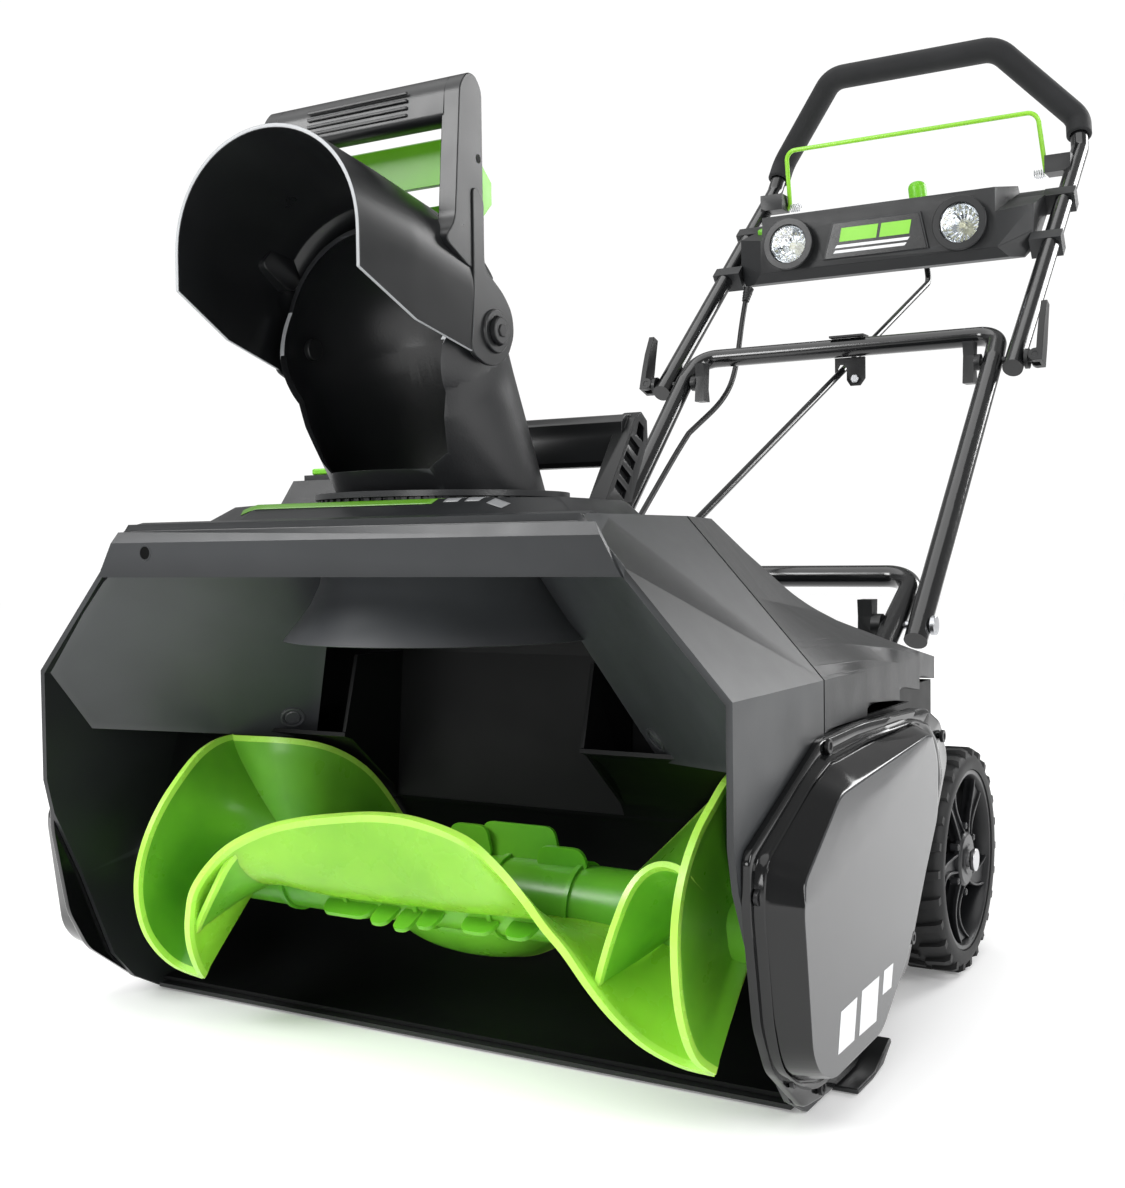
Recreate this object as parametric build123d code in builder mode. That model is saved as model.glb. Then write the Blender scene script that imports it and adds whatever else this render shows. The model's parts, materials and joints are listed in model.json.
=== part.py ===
"""Cordless single-stage snow thrower: scoop housing with a rubber-bladed auger,
turning discharge chute, tilting deflector, two wheels and a two-piece folding
handle.  Drawn in millimetres with +Z up, X = 0 on the plane of symmetry, the
mouth of the scoop facing -Y, Y = 0 at the front edge of the side plates and
Z = 0 on the ground.  Every piece is then moved by TO_ORIGIN, so that the
origin lies at the middle of the footprint."""
from build123d import *
from math import sin, cos, tan, radians, sqrt, pi
import os

os.makedirs("parts", exist_ok=True)

# ------------------------------------------------------------------ dimensions
Y_MID = 622.74             # drawing Y of the middle of the whole machine
TO_ORIGIN = Location((0, -Y_MID, 0))

HALF_W = 270.0             # outer face of the side plates
PLATE = 4.0                # side plate and skin thickness
WALL = 3.0                 # moulded wall
AX_Y, AX_Z = 107.0, 107.0  # auger axis
AUGER_R = 95.0             # blade tip radius
AUGER_HALF = 246.0         # half length of the blades
CORE_R = 27.0
SHAFT_R = 8.0
TROUGH_R = 99.0            # inside of the scoop liner
MOTOR_Y, MOTOR_Z = 254.0, 172.0
GROOVE_Y = 140.0           # joint between front and rear shells
CHUTE_Y = 122.0            # turning axis of the chute
RING_R = 88.0
TUBE_R = 72.0
DOME_R = 76.0
PIV_Y, PIV_Z = 67.0, 478.0         # deflector pivot
LEVER_Y, LEVER_Z = 52.0, 583.0     # release lever pin
WHEEL_R = 88.9
WHEEL_Y = 441.0
AXLE_R = 6.0
TUBE = 11.0                # handle tube radius
J0_Y, J0_Z = 625.0, 264.0  # lower handle joint
J1_Y, J1_Z = 905.0, 539.0  # upper handle joint
FRAME_X = 163.0
MID_X = 187.0
IDLER_Y, IDLER_Z = 213.4, 103.8
UP_X = 211.0
GRIP_R = 16.0
BAIL_Y, BAIL_Z = 1236.0, 816.0
GAP = 0.3                  # clearance between bodies that move past each other


def poly_x(pts, x0, x1, mode=Mode.ADD):
    """Prism along X of a profile given as (Y, Z) points."""
    with BuildSketch(Plane.YZ.offset(x0)) as sk:
        with BuildLine():
            Polyline(*pts, close=True)
        make_face()
    extrude(to_extrude=sk.sketch, amount=x1 - x0, mode=mode)


def poly_y(pts, y0, y1, mode=Mode.ADD):
    """Prism along Y of a profile given as (X, Z) points."""
    with BuildSketch(Plane.XZ.offset(-y0)) as sk:
        with BuildLine():
            Polyline(*pts, close=True)
        make_face()
    extrude(to_extrude=sk.sketch, amount=-(y1 - y0), mode=mode)


def poly_z(pts, z0, z1, mode=Mode.ADD):
    """Prism along Z of a profile given as (X, Y) points."""
    with BuildSketch(Plane.XY.offset(z0)) as sk:
        with BuildLine():
            Polyline(*pts, close=True)
        make_face()
    extrude(to_extrude=sk.sketch, amount=z1 - z0, mode=mode)


def disc_x(y, z, r, x0, x1, mode=Mode.ADD):
    with BuildSketch(Plane.YZ.offset(x0)) as sk:
        with Locations((y, z)):
            Circle(r)
    extrude(to_extrude=sk.sketch, amount=x1 - x0, mode=mode)


def disc_z(x, y, r, z0, z1, mode=Mode.ADD):
    with BuildSketch(Plane.XY.offset(z0)) as sk:
        with Locations((x, y)):
            Circle(r)
    extrude(to_extrude=sk.sketch, amount=z1 - z0, mode=mode)


def disc_on(origin, direction, r, length, mode=Mode.ADD):
    """Round rod from a point along a direction."""
    with BuildSketch(Plane(origin=origin, z_dir=direction)) as sk:
        Circle(r)
    extrude(to_extrude=sk.sketch, amount=length, mode=mode)


def tube_path(pts, radii, r, mode=Mode.ADD):
    """Round bar swept along straight runs joined by tangent arcs."""
    with BuildLine() as ln:
        if len(pts) > 2:
            FilletPolyline(*pts, radius=radii)
        else:
            Line(*pts)
    with BuildSketch(Plane(origin=pts[0], z_dir=Vector(*pts[1]) - Vector(*pts[0]))) as sk:
        Circle(r)
    sweep(sections=sk.sketch, path=ln.line, mode=mode)


# ================================================================ root: scoop
CH_T = (178.0, 360.0)      # top of the shoulder slope (X, Z)
CH_B = (HALF_W, 257.0)     # foot of the shoulder slope
PLATE_OUT = [(0, 257), (0, 178), (6, 153), (18, 129), (31, 103), (59, 37),
             (78.5, 15), (106, 0), (178, 0), (196, 8), (279, 44), (362, 180),
             (347, 209), (316, 221), (203, 223.6), (139, 223.6), (139, 257)]

with BuildPart() as auger_housing:
    poly_y([(-HALF_W, 257), (-178, 360), (178, 360), (HALF_W, 257),
            (HALF_W - PLATE, 255), (176.4, 356), (-176.4, 356), (-HALF_W + PLATE, 255)], 0, 139)
    poly_x(PLATE_OUT, HALF_W - PLATE, HALF_W)
    poly_x(PLATE_OUT, -HALF_W, -HALF_W + PLATE)
    # lip across the top of the mouth
    poly_x([(-3, 324), (-3, 347.5), (1.5, 358.8), (14, 361.5), (30, 358), (8, 350), (1, 345), (1, 324)], -206, 206)
    # keep the lip inside the shoulder line
    for s in (1, -1):
        poly_y([(s * 205.5, 324), (s * 192, 348), (s * 184, 362), (s * 184, 375), (s * 230, 375), (s * 230, 324)],
               -6, -0.01, mode=Mode.SUBTRACT)
        poly_y([(s * 178.5, 360), (s * 178.5, 375), (s * 260, 375), (s * 211, 324)],
               -0.01, 40, mode=Mode.SUBTRACT)
    disc_z(0, CHUTE_Y, 86, 340, 380, mode=Mode.SUBTRACT)
    disc_x(AX_Y, AX_Z, 14.02, -HALF_W - 1, HALF_W + 1, mode=Mode.SUBTRACT)
    disc_x(MOTOR_Y, MOTOR_Z, 11, -HALF_W - 1, -HALF_W + PLATE + 1, mode=Mode.SUBTRACT)
    # idler stub on the drive side
    disc_x(IDLER_Y, IDLER_Z, 3.0, -292, -HALF_W + 1)
auger_housing.part.label = "auger_housing"

REAR = [  # Y, then half outline (X, Z)
    (141.0, [(178, 360), (224, 308.5), (270, 257), (270, 224)]),
    (240.0, [(150, 360), (197, 301), (264, 262), (264, 224)]),
    (345.0, [(132, 335), (184, 291), (254, 262), (254, 224)]),
    (430.0, [(118, 305.7), (176, 278), (244, 254), (244, 224)]),
    (528.0, [(105, 272), (160, 262), (228, 243), (228, 224)]),
]


def rear_section(y, half, inset=0.0, floor=224.0):
    pts = [(x - inset * (1.0 if i else 0.45), z - inset * (1.0 if i < 3 else 0.0)) for i, (x, z) in enumerate(half[:3])]
    pts = pts + [(half[3][0] - inset, floor)]
    full = pts + [(-x, z) for x, z in reversed(pts)]
    with BuildSketch(Plane.XZ.offset(-y)) as sk:
        with BuildLine():
            Polyline(*full, close=True)
        make_face()
    return sk.sketch


rear_outer = [rear_section(y, h) for y, h in REAR]
rear_inner = [rear_section(y + (0 if i == 0 else (-WALL if i == 4 else 0)) - (1 if i == 0 else 0), h, WALL, 214.0)
              for i, (y, h) in enumerate(REAR)]
BAY_BOT = [(-205, 147), (-104, 147), (-110, 214), (-66, 250), (-66, 384), (-196, 384)]
BAY_TOP = [(-182, 176), (-108, 176), (-114, 218), (-72, 254), (-72, 362), (-182, 362)]


def bay_section(pts, z, inset=0.0):
    with BuildSketch(Plane.XY.offset(z)) as sk:
        with BuildLine():
            Polyline(*pts, close=True)
        make_face()
        if inset:
            offset(amount=-inset, kind=Kind.INTERSECTION, mode=Mode.REPLACE)
    return sk.sketch


with BuildPart() as rear_shell:
    loft(sections=rear_outer, ruled=True)
    # raised battery bay on the left
    poly_z(BAY_BOT, 279, 330)
    loft(sections=[bay_section(BAY_BOT, 330), bay_section(BAY_TOP, 396)], ruled=True)
    loft(sections=rear_inner, ruled=True, mode=Mode.SUBTRACT)
    loft(sections=[bay_section(BAY_BOT, 283, 3.5), bay_section(BAY_BOT, 330, 3.5), bay_section(BAY_TOP, 397, 4.5)],
         ruled=True, mode=Mode.SUBTRACT)
    disc_z(0, CHUTE_Y, 86, 340, 380, mode=Mode.SUBTRACT)
    # way in for the chute control rod
    disc_on((-31, 462, 304), (0.0554, 0.8940, 0.4443), 9, 60, mode=Mode.SUBTRACT)
    disc_on((-31, 462, 304), (-0.0554, -0.8940, -0.4443), 9, 60, mode=Mode.SUBTRACT)
    # pin and ears of the battery door
    disc_x(357, 400.0, 1.5, -180, -68)
    poly_x([(352, 391), (362, 391), (359, 402.5), (355, 402.5)], -181, -174.4)
    poly_x([(352, 391), (362, 391), (359, 402.5), (355, 402.5)], -74.4, -67)
rear_shell.part.label = "rear_shell"

with BuildPart() as base_pan:
    out = [(-262, 212), (262, 212), (262, 343), (226, 352), (226, 524), (-226, 524), (-226, 352), (-262, 343)]
    inn = [(-259, 215), (259, 215), (259, 341), (223, 350), (223, 521), (-223, 521), (-223, 350), (-259, 341)]
    poly_z(out, 45, 223.6)
    poly_z(inn, 48, 230, mode=Mode.SUBTRACT)
    disc_x(WHEEL_Y, WHEEL_R, AXLE_R + 0.02, -240, 240, mode=Mode.SUBTRACT)
    disc_x(MOTOR_Y, MOTOR_Z, 11, -265, -255, mode=Mode.SUBTRACT)
    # sockets for the lower frame in the rear wall
    for s in (1, -1):
        disc_on((s * FRAME_X, 480, 183), (0, 0.866, 0.5), TUBE + 0.02, 120, mode=Mode.SUBTRACT)
base_pan.part.label = "base_pan"

with BuildPart() as trough_liner:
    with BuildSketch(Plane.YZ.offset(-264)) as sk:
        with BuildLine():
            a1 = CenterArc((AX_Y, AX_Z), TROUGH_R, -90, 165)
            a2 = CenterArc((AX_Y, AX_Z), TROUGH_R + WALL, -90, 165)
            Line(a1 @ 0, a2 @ 0)
            Line(a1 @ 1, a2 @ 1)
        make_face()
    extrude(to_extrude=sk.sketch, amount=528)
    # throat up to the chute
    poly_x([(100, 150), (230, 150), (230, 230), (100, 230)], -100, 100, mode=Mode.SUBTRACT)
    poly_x([(197, 147.5), (200.4, 147.5), (209, 262), (206, 262)], -100, 100)
    for s in (1, -1):
        poly_x([(134, 206), (200, 152), (206, 262), (150, 262)], min(s * 100, s * 103), max(s * 100, s * 103))
trough_liner.part.label = "trough_liner"

P1, P2, P3 = Vector(201, 8, 320), Vector(263, 8, 226), Vector(154, 130, 204)
fun_n = (P2 - P1).cross(P3 - P1).normalized()
if fun_n.Z < 0:
    fun_n = -fun_n
FUNNEL = Plane(origin=P1, x_dir=(P2 - P1), z_dir=fun_n)
fun_pts = []
for q in (P1, P2, P3, Vector(106, 146, 268)):
    loc = FUNNEL.to_local_coords(q)
    fun_pts.append((loc.X, loc.Y))
with BuildPart() as funnel_panels:
    with BuildSketch(FUNNEL) as sk:
        with BuildLine():
            Polyline(*fun_pts, close=True)
        make_face()
    extrude(to_extrude=sk.sketch, amount=2.5)
    # moulded screw boss near the lower corner
    with BuildSketch(FUNNEL) as sk2:
        lb = FUNNEL.to_local_coords(Vector(158, 120, 215))
        with Locations((lb.X, lb.Y)):
            Circle(7)
    extrude(to_extrude=sk2.sketch, amount=-3.5)
    mirror(about=Plane.YZ)
funnel_panels.part.label = "funnel_panels"

with BuildPart() as scraper_bar:
    poly_x([(100, 1.6), (100, 4.6), (150, 4.6), (158, 12), (160, 10), (151, 1.6)], -262, 262)
    for x in (-220, -110, 0, 110, 220):
        disc_z(x, 130, 2.6, 0, 6, mode=Mode.SUBTRACT)
scraper_bar.part.label = "scraper_bar"

# ------------------------------------------------------------- side covers
FLANGE = [(121, 222), (9, 173.5), (9, 140), (22, 76), (39, 46), (88, 9), (128, 4), (180, 4),
          (196, 11), (279, 45), (364, 180), (349, 209), (318, 222), (203, 224.6)]
RAISE_0 = [(118, 211), (24, 168), (23, 130), (58, 42), (124, 26), (258, 50), (350, 181), (318, 212)]
RAISE_1 = [(111.5, 196), (32, 159), (31, 125), (64, 46), (123.5, 37), (207, 67), (287, 193), (262, 208)]


def yz_sketch(pts, x, inset=0.0):
    with BuildSketch(Plane.YZ.offset(x)) as sk:
        with BuildLine():
            Polyline(*pts, close=True)
        make_face()
        if inset:
            offset(amount=-inset, kind=Kind.INTERSECTION, mode=Mode.REPLACE)
    return sk.sketch


COVER_SCREWS = [(128, 218), (15.5, 150), (66, 33.5), (112, 14), (345, 199), (280, 65)]
with BuildPart() as side_cover_right:
    with BuildSketch(Plane.YZ.offset(HALF_W + 0.2)) as sk:
        with BuildLine():
            Polyline(*FLANGE, close=True)
        make_face()
        fillet(sk.vertices(), 4)
    extrude(to_extrude=sk.sketch, amount=15)
    # the flange stands further out towards the wheel
    poly_z([(275.2, -20), (275.2, 190), (285.2, 364), (285.2, 420), (320, 420), (320, -20)], -10, 240, mode=Mode.SUBTRACT)
    loft(sections=[yz_sketch(RAISE_0, 274), yz_sketch(RAISE_1, 300)], ruled=True)
    loft(sections=[yz_sketch(RAISE_0, HALF_W + 0.1, 3.5), yz_sketch(RAISE_1, 297, 2.5)], ruled=True, mode=Mode.SUBTRACT)
    for y, z in COVER_SCREWS:
        disc_x(y, z, 2.1, HALF_W, 290, mode=Mode.SUBTRACT)
side_cover_right.part.label = "side_cover_right"

with BuildPart() as side_cover_left:
    add(side_cover_right.part.mirror(Plane.YZ))
side_cover_left.part.label = "side_cover_left"

with BuildPart() as housing_screws:
    for s in (1, -1):
        for y, z in COVER_SCREWS:
            top = 275.2 if y < 190 else 275.2 + 10 * (y - 190) / 174
            disc_x(y, z, 2.0, s * (HALF_W + 0.2), s * (top + 0.6))
            disc_x(y, z, 4.6, s * (top + 0.6), s * (top + 3.2))
            disc_x(y, z, 2.3, s * (top + 2.0), s * (top + 4.0), mode=Mode.SUBTRACT)
housing_screws.part.label = "housing_screws"

with BuildPart() as skid_feet:
    for s in (1, -1):
        with BuildSketch(Plane.YZ.offset(s * 288) if s < 0 else Plane.YZ.offset(HALF_W + 0.1)) as sk:
            with BuildLine():
                Polyline((146, 0), (176, 0), (197, 3.0), (214, 12.5), (212, 16), (196, 9.6), (181, 3.4), (146, 3.4), close=True)
            make_face()
        extrude(to_extrude=sk.sketch, amount=17.9)
skid_feet.part.label = "skid_feet"

# --------------------------------------------------------------- chute base
with BuildPart() as chute_base:
    with BuildSketch(Plane.XY.offset(360.2)) as s0:
        with BuildLine():
            Polyline((-150, 44), (-96, 20), (96, 20), (150, 44), (142, 150), (104, 226), (-54, 226),
                     (-101, 205), (-101, 147), (-142, 147), close=True)
        make_face()
    with BuildSketch(Plane.XY.offset(371.8)) as s1:
        with BuildLine():
            Polyline((-132, 56), (-90, 34), (90, 34), (132, 56), (126, 148), (96, 216), (-52, 216),
                     (-97, 203), (-97, 143), (-126, 143), close=True)
        make_face()
    loft(sections=[s0.sketch, s1.sketch], ruled=True)
    with BuildSketch(Plane.XZ.offset(-CHUTE_Y)) as sk:
        with BuildLine():
            Polyline((66, 371.8), (66, 322), (81, 273), (84, 273), (69.5, 324), (69.5, 371.8), close=True)
        make_face()
    disc_z(0, CHUTE_Y, 66, 350, 380, mode=Mode.SUBTRACT)
    revolve(profiles=sk.sketch, axis=Axis((0, CHUTE_Y, 0), (0, 0, 1)))
chute_base.part.label = "chute_base"

# -------------------------------------------------------------- carry handle
POST = [(170, 372.2), (209, 372.2), (236, 418), (235, 432), (226, 438), (216, 433)]
with BuildPart() as carry_handle:
    poly_x(POST, 88, 102)
    poly_x([(186, 372.2), (209, 372.2), (236, 418), (235, 432), (226, 438), (216, 433)], -94, -84)
    poly_x([(207, 402), (207, 430), (212, 435), (226, 437), (231, 431), (231, 404), (226, 399), (212, 399)], -90, 96)
    # lightening pockets of the right-hand post, crossed by slanting ribs
    for i in range(4):
        y, z = 190 + 7.0 * i, 380 + 10.5 * i
        poly_x([(y - 6, z + 2), (y + 8, z - 6), (y + 12, z + 0), (y - 2, z + 8)], 98.5, 103, mode=Mode.SUBTRACT)
    poly_x([(218, 421), (229, 416), (230, 427), (222, 431)], 80, 110, mode=Mode.SUBTRACT)
carry_handle.part.label = "carry_handle"

# ---------------------------------------------------- lower frame and axle
with BuildPart() as lower_frame:
    tube_path([(-FRAME_X, 480, 183), (-FRAME_X, 697, 308.3), (FRAME_X, 697, 308.3), (FRAME_X, 480, 183)],
              30, TUBE)
    disc_x(J0_Y, J0_Z, 4.05, -FRAME_X - 20, -FRAME_X + 20, mode=Mode.SUBTRACT)
    disc_x(J0_Y, J0_Z, 4.05, FRAME_X - 20, FRAME_X + 20, mode=Mode.SUBTRACT)
lower_frame.part.label = "lower_frame"

with BuildPart() as axle:
    disc_x(WHEEL_Y, WHEEL_R, AXLE_R, -283, 283)
    disc_x(WHEEL_Y, WHEEL_R, 9, 283, 286)
    disc_x(WHEEL_Y, WHEEL_R, 9, -286, -283)
axle.part.label = "axle"

# ------------------------------------------------------------- drive inside
with BuildPart() as motor_case:
    disc_x(MOTOR_Y, MOTOR_Z, 36, -252, -165)
    disc_x(MOTOR_Y, MOTOR_Z, 32, -249, -168, mode=Mode.SUBTRACT)
    disc_x(MOTOR_Y, MOTOR_Z, 10, -249, -240)
    disc_x(MOTOR_Y, MOTOR_Z, 5.04, -253, -239, mode=Mode.SUBTRACT)
    poly_x([(225, 48.2), (283, 48.2), (277, 145), (231, 145)], -246, -236)
    poly_x([(225, 48.2), (283, 48.2), (277, 145), (231, 145)], -182, -172)
motor_case.part.label = "motor_case"

with BuildPart() as motor_pulley:
    disc_x(MOTOR_Y, MOTOR_Z, 5.0, -292, -196)
    disc_x(MOTOR_Y, MOTOR_Z, 13.0, -289, -277)
    disc_x(MOTOR_Y, MOTOR_Z, 26.0, -232, -184)
motor_pulley.part.label = "motor_pulley"

with BuildPart() as auger_pulley:
    disc_x(AX_Y, AX_Z, 48.0, -289, -277)
    disc_x(AX_Y, AX_Z, 40.0, -290, -286, mode=Mode.SUBTRACT)
    with BuildSketch(Plane.YZ.offset(-287)) as sk:
        with Locations((AX_Y, AX_Z)):
            with PolarLocations(27, 5):
                Circle(8)
    extrude(to_extrude=sk.sketch, amount=12, mode=Mode.SUBTRACT)
    disc_x(AX_Y, AX_Z, SHAFT_R, -295, -275, mode=Mode.SUBTRACT)
auger_pulley.part.label = "auger_pulley"


def belt_face(grow):
    with BuildSketch(Plane.YZ.offset(-288)) as sk:
        with Locations((AX_Y, AX_Z)):
            Circle(48 + grow)
        with Locations((MOTOR_Y, MOTOR_Z)):
            Circle(13 + grow)
        make_hull()
    return sk.sketch


with BuildPart() as drive_belt:
    extrude(to_extrude=belt_face(3.0), amount=10)
    extrude(to_extrude=belt_face(0.35), amount=10, mode=Mode.SUBTRACT)
drive_belt.part.label = "drive_belt"

with BuildPart() as idler_pulley:
    disc_x(IDLER_Y, IDLER_Z, 14, -289, -277)
    disc_x(IDLER_Y, IDLER_Z, 3.05, -295, -270, mode=Mode.SUBTRACT)
idler_pulley.part.label = "idler_pulley"

with BuildPart() as auger_bearings:
    for s in (1, -1):
        disc_x(AX_Y, AX_Z, 14.0, s * 258.5, s * (HALF_W + 0.0))
        disc_x(AX_Y, AX_Z, 18.0, s * 260.0, s * 265.8)
    disc_x(AX_Y, AX_Z, SHAFT_R + 0.05, -280, 280, mode=Mode.SUBTRACT)
auger_bearings.part.label = "auger_bearings"

with BuildPart() as controller_board:
    with Locations((60, 290, 60)):
        Box(150, 110, 2)
    for x in (10, 40, 70, 100):
        with Locations((x, 290, 71)):
            Box(16, 60, 20)
    with Locations((60, 300, 54.5)):
        Box(20, 20, 9)
    for x, y in ((-8, 242), (128, 242), (-8, 338), (128, 338)):
        disc_z(x, y, 4, 48.2, 60)
controller_board.part.label = "controller_board"

with BuildPart() as battery_pack:
    with Locations((-142, 292, 330)):
        Box(56, 116, 108)
    fillet(battery_pack.edges().filter_by(Axis.Z), 6)
    with Locations((-142, 292, 270)):
        Box(40, 90, 12)
battery_pack.part.label = "battery_pack"

with BuildPart() as chute_drive_box:
    poly_x([(424, 314.5), (486, 293.5), (484, 318), (470, 331), (434, 334)], -58, 4)
    disc_on((-31, 462, 304), (0.0554, 0.8940, 0.4443), 8, 60, mode=Mode.SUBTRACT)
    disc_on((-31, 462, 304), (-0.0554, -0.8940, -0.4443), 8, 70, mode=Mode.SUBTRACT)
chute_drive_box.part.label = "chute_drive_box"

# ==================================================================== auger
def phi_main(u):
    """Blade angle from straight up towards the front, degrees, for u = |x|."""
    return 38.0 + 132.0 * (u / 190.0) ** 1.35


def blade_section(x, ang, r0, r1, t):
    a = radians(ang)
    pl = Plane(origin=(x, AX_Y, AX_Z), x_dir=(0, -sin(a), cos(a)), z_dir=(1, 0, 0))
    with BuildSketch(pl) as sk:
        with Locations(((r0 + r1) / 2, 0)):
            Rectangle(r1 - r0, t)
    return sk.sketch


def end_section(x, ang, r0, r1, t):
    """Thin section in a plane through the auger axis."""
    a = radians(ang)
    pl = Plane(origin=(0, AX_Y, AX_Z), x_dir=(0, -sin(a), cos(a)), z_dir=(0, cos(a), sin(a)))
    with BuildSketch(pl) as sk:
        with BuildLine():
            w = t / 2
            v = pl.to_local_coords(Vector(x, AX_Y, AX_Z))
            yy = v.Y
            Polyline((r0, yy - w), (r1, yy - w), (r1, yy + w), (r0, yy + w), close=True)
        make_face()
    return sk.sketch


with BuildPart() as auger_rotor:
    disc_x(AX_Y, AX_Z, CORE_R, -AUGER_HALF, AUGER_HALF)
    for turn in (0.0, 180.0):
        for s in (1, -1):
            secs = [blade_section(s * u, phi_main(u) + turn, CORE_R - 3, AUGER_R, 4.0)
                    for u in (0, 24, 48, 72, 96, 120, 144, 168, 190)]
            loft(sections=secs, ruled=True)
            ends = [end_section(s * (190 + 52 * k / 6.0), phi_main(190) + 168 * k / 6.0 + turn,
                                CORE_R - 3, AUGER_R - 1.0, 5.0) for k in range(7)]
            loft(sections=ends)
    disc_x(AX_Y, AX_Z, SHAFT_R, -300, 300, mode=Mode.SUBTRACT)
auger_rotor.part.label = "auger_rotor"

with BuildPart() as auger_shaft:
    disc_x(AX_Y, AX_Z, SHAFT_R, -292, 280)
auger_shaft.part.label = "auger_shaft"

# =================================================================== wheels
def wheel_tyre(x0, x1):
    with BuildSketch(Plane(origin=(0, WHEEL_Y, WHEEL_R), x_dir=(1, 0, 0), z_dir=(0, -1, 0))) as sk:
        with BuildLine():
            Polyline((x0, 71), (x0, 82), (x0 + 3, 87), (x0 + 7, WHEEL_R), (x1 - 7, WHEEL_R), (x1 - 3, 87),
                     (x1, 82), (x1, 71), close=True)
        make_face()
    revolve(profiles=sk.sketch, axis=Axis((0, WHEEL_Y, WHEEL_R), (1, 0, 0)))


def tread(x0, x1):
    """Grooves across the tread."""
    for k in range(20):
        a = radians(18 * k)
        pl = Plane(origin=(x0 - 1 if k % 2 else (x0 + x1) / 2 + 2, WHEEL_Y + 90 * sin(a), WHEEL_R + 90 * cos(a)),
                   x_dir=(0, cos(a), -sin(a)), z_dir=(1, 0, 0))
        with BuildSketch(pl) as sk:
            Rectangle(5, 9)
        extrude(to_extrude=sk.sketch, amount=(x1 - x0) / 2 - 1, mode=Mode.SUBTRACT)


def rim(x0, x1, sgn):
    face = x1 if sgn > 0 else x0
    ctr = Plane(origin=(0, WHEEL_Y, WHEEL_R), x_dir=(1, 0, 0), z_dir=(0, -1, 0))
    with BuildSketch(ctr) as sk:
        with BuildLine():
            Polyline((x0 + 1, 66), (x0 + 1, 70.95), (x1 - 1, 70.95), (x1 - 1, 66), close=True)
        make_face()
        with BuildLine():
            Polyline((x0 - 0.5, AXLE_R + 0.06), (x0 - 0.5, 17), (x1 + 0.5, 17), (x1 + 0.5, AXLE_R + 0.06), close=True)
        make_face()
    revolve(profiles=sk.sketch, axis=Axis((0, WHEEL_Y, WHEEL_R), (1, 0, 0)))
    # five spokes
    xs = x1 - 12 if sgn > 0 else x0 + 2
    for k in range(5):
        a = radians(72 * k + 18)
        pl = Plane(origin=(xs, WHEEL_Y, WHEEL_R), x_dir=(0, sin(a), cos(a)), z_dir=(1, 0, 0))
        with BuildSketch(pl) as sp:
            with BuildLine():
                Polyline((14, -6), (40, -5), (68, -11), (68, 11), (40, 5), (14, 6), close=True)
            make_face()
        extrude(to_extrude=sp.sketch, amount=10)
    disc_x(WHEEL_Y, WHEEL_R, AXLE_R + 0.06, x0 - 5, x1 + 5, mode=Mode.SUBTRACT)


with BuildPart() as tyre_right:
    wheel_tyre(235, 281)
    tread(235, 281)
tyre_right.part.label = "tyre_right"
with BuildPart() as rim_right:
    rim(235, 281, 1)
rim_right.part.label = "rim_right"
with BuildPart() as tyre_left:
    wheel_tyre(-281, -235)
    tread(-281, -235)
tyre_left.part.label = "tyre_left"
with BuildPart() as rim_left:
    rim(-281, -235, -1)
rim_left.part.label = "rim_left"

# ==================================================================== chute
with BuildPart() as chute_tube:
    # flange and short round base
    disc_z(0, CHUTE_Y, RING_R, 374.6, 378.5)
    # leaning tube
    with BuildSketch(Plane.XY.offset(376)) as a0:
        with Locations((0, CHUTE_Y)):
            Circle(TUBE_R)
    with BuildSketch(Plane(origin=(0, 84, 442), z_dir=(0, -0.42, 0.91))) as a1:
        Circle(TUBE_R)
    loft(sections=[a0.sketch, a1.sketch])
    with Locations((0, PIV_Y, PIV_Z)):
        Sphere(DOME_R)
    with BuildSketch(Plane(origin=(0, 84, 442), z_dir=(0, -0.42, 0.91))) as a2:
        Circle(TUBE_R)
    extrude(to_extrude=a2.sketch, amount=38)
    # hollow it
    with BuildSketch(Plane.XY.offset(370)) as b0:
        with Locations((0, CHUTE_Y + 2)):
            Circle(TUBE_R - WALL)
    with BuildSketch(Plane(origin=(0, 84, 442), z_dir=(0, -0.42, 0.91))) as b1:
        Circle(TUBE_R - WALL)
    loft(sections=[b0.sketch, b1.sketch], mode=Mode.SUBTRACT)
    with Locations((0, PIV_Y, PIV_Z)):
        Sphere(DOME_R - WALL, mode=Mode.SUBTRACT)
    extrude(to_extrude=b1.sketch, amount=38, mode=Mode.SUBTRACT)
    # cut the front away: the throw opening, narrowing downwards
    poly_x([(-60, 420), (24, 452), (43, 500), (42, 560), (30, 600), (-60, 600)], -90, 90, mode=Mode.SUBTRACT)
    poly_y([(-66, 470), (-52, 402), (-40, 392), (40, 392), (52, 402), (66, 470)], -40, 84, mode=Mode.SUBTRACT)
    # bores of the deflector pivot bolts
    disc_x(PIV_Y, PIV_Z, 4.05, -90, 90, mode=Mode.SUBTRACT)
chute_tube.part.label = "chute_tube"

with BuildPart() as chute_gear:
    with BuildSketch(Plane.XY.offset(372.1)) as sk:
        with Locations((0, CHUTE_Y)):
            Circle(84)
            with PolarLocations(84, 60):
                Rectangle(5.0, 4.2)
        with Locations((0, CHUTE_Y)):
            Circle(70, mode=Mode.SUBTRACT)
    extrude(to_extrude=sk.sketch, amount=2.4)
chute_gear.part.label = "chute_gear"

with BuildPart() as pivot_bolts:
    for s in (1, -1):
        disc_x(PIV_Y, PIV_Z, 4.0, s * 66, s * 84)
        disc_x(PIV_Y, PIV_Z, 8.5, s * 80.8, s * 85.5)
        disc_x(PIV_Y, PIV_Z, 3.4, s * 83.0, s * 86.5, mode=Mode.SUBTRACT)
        disc_x(PIV_Y, PIV_Z, 7.5, s * 66, s * 70)
pivot_bolts.part.label = "pivot_bolts"


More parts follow.
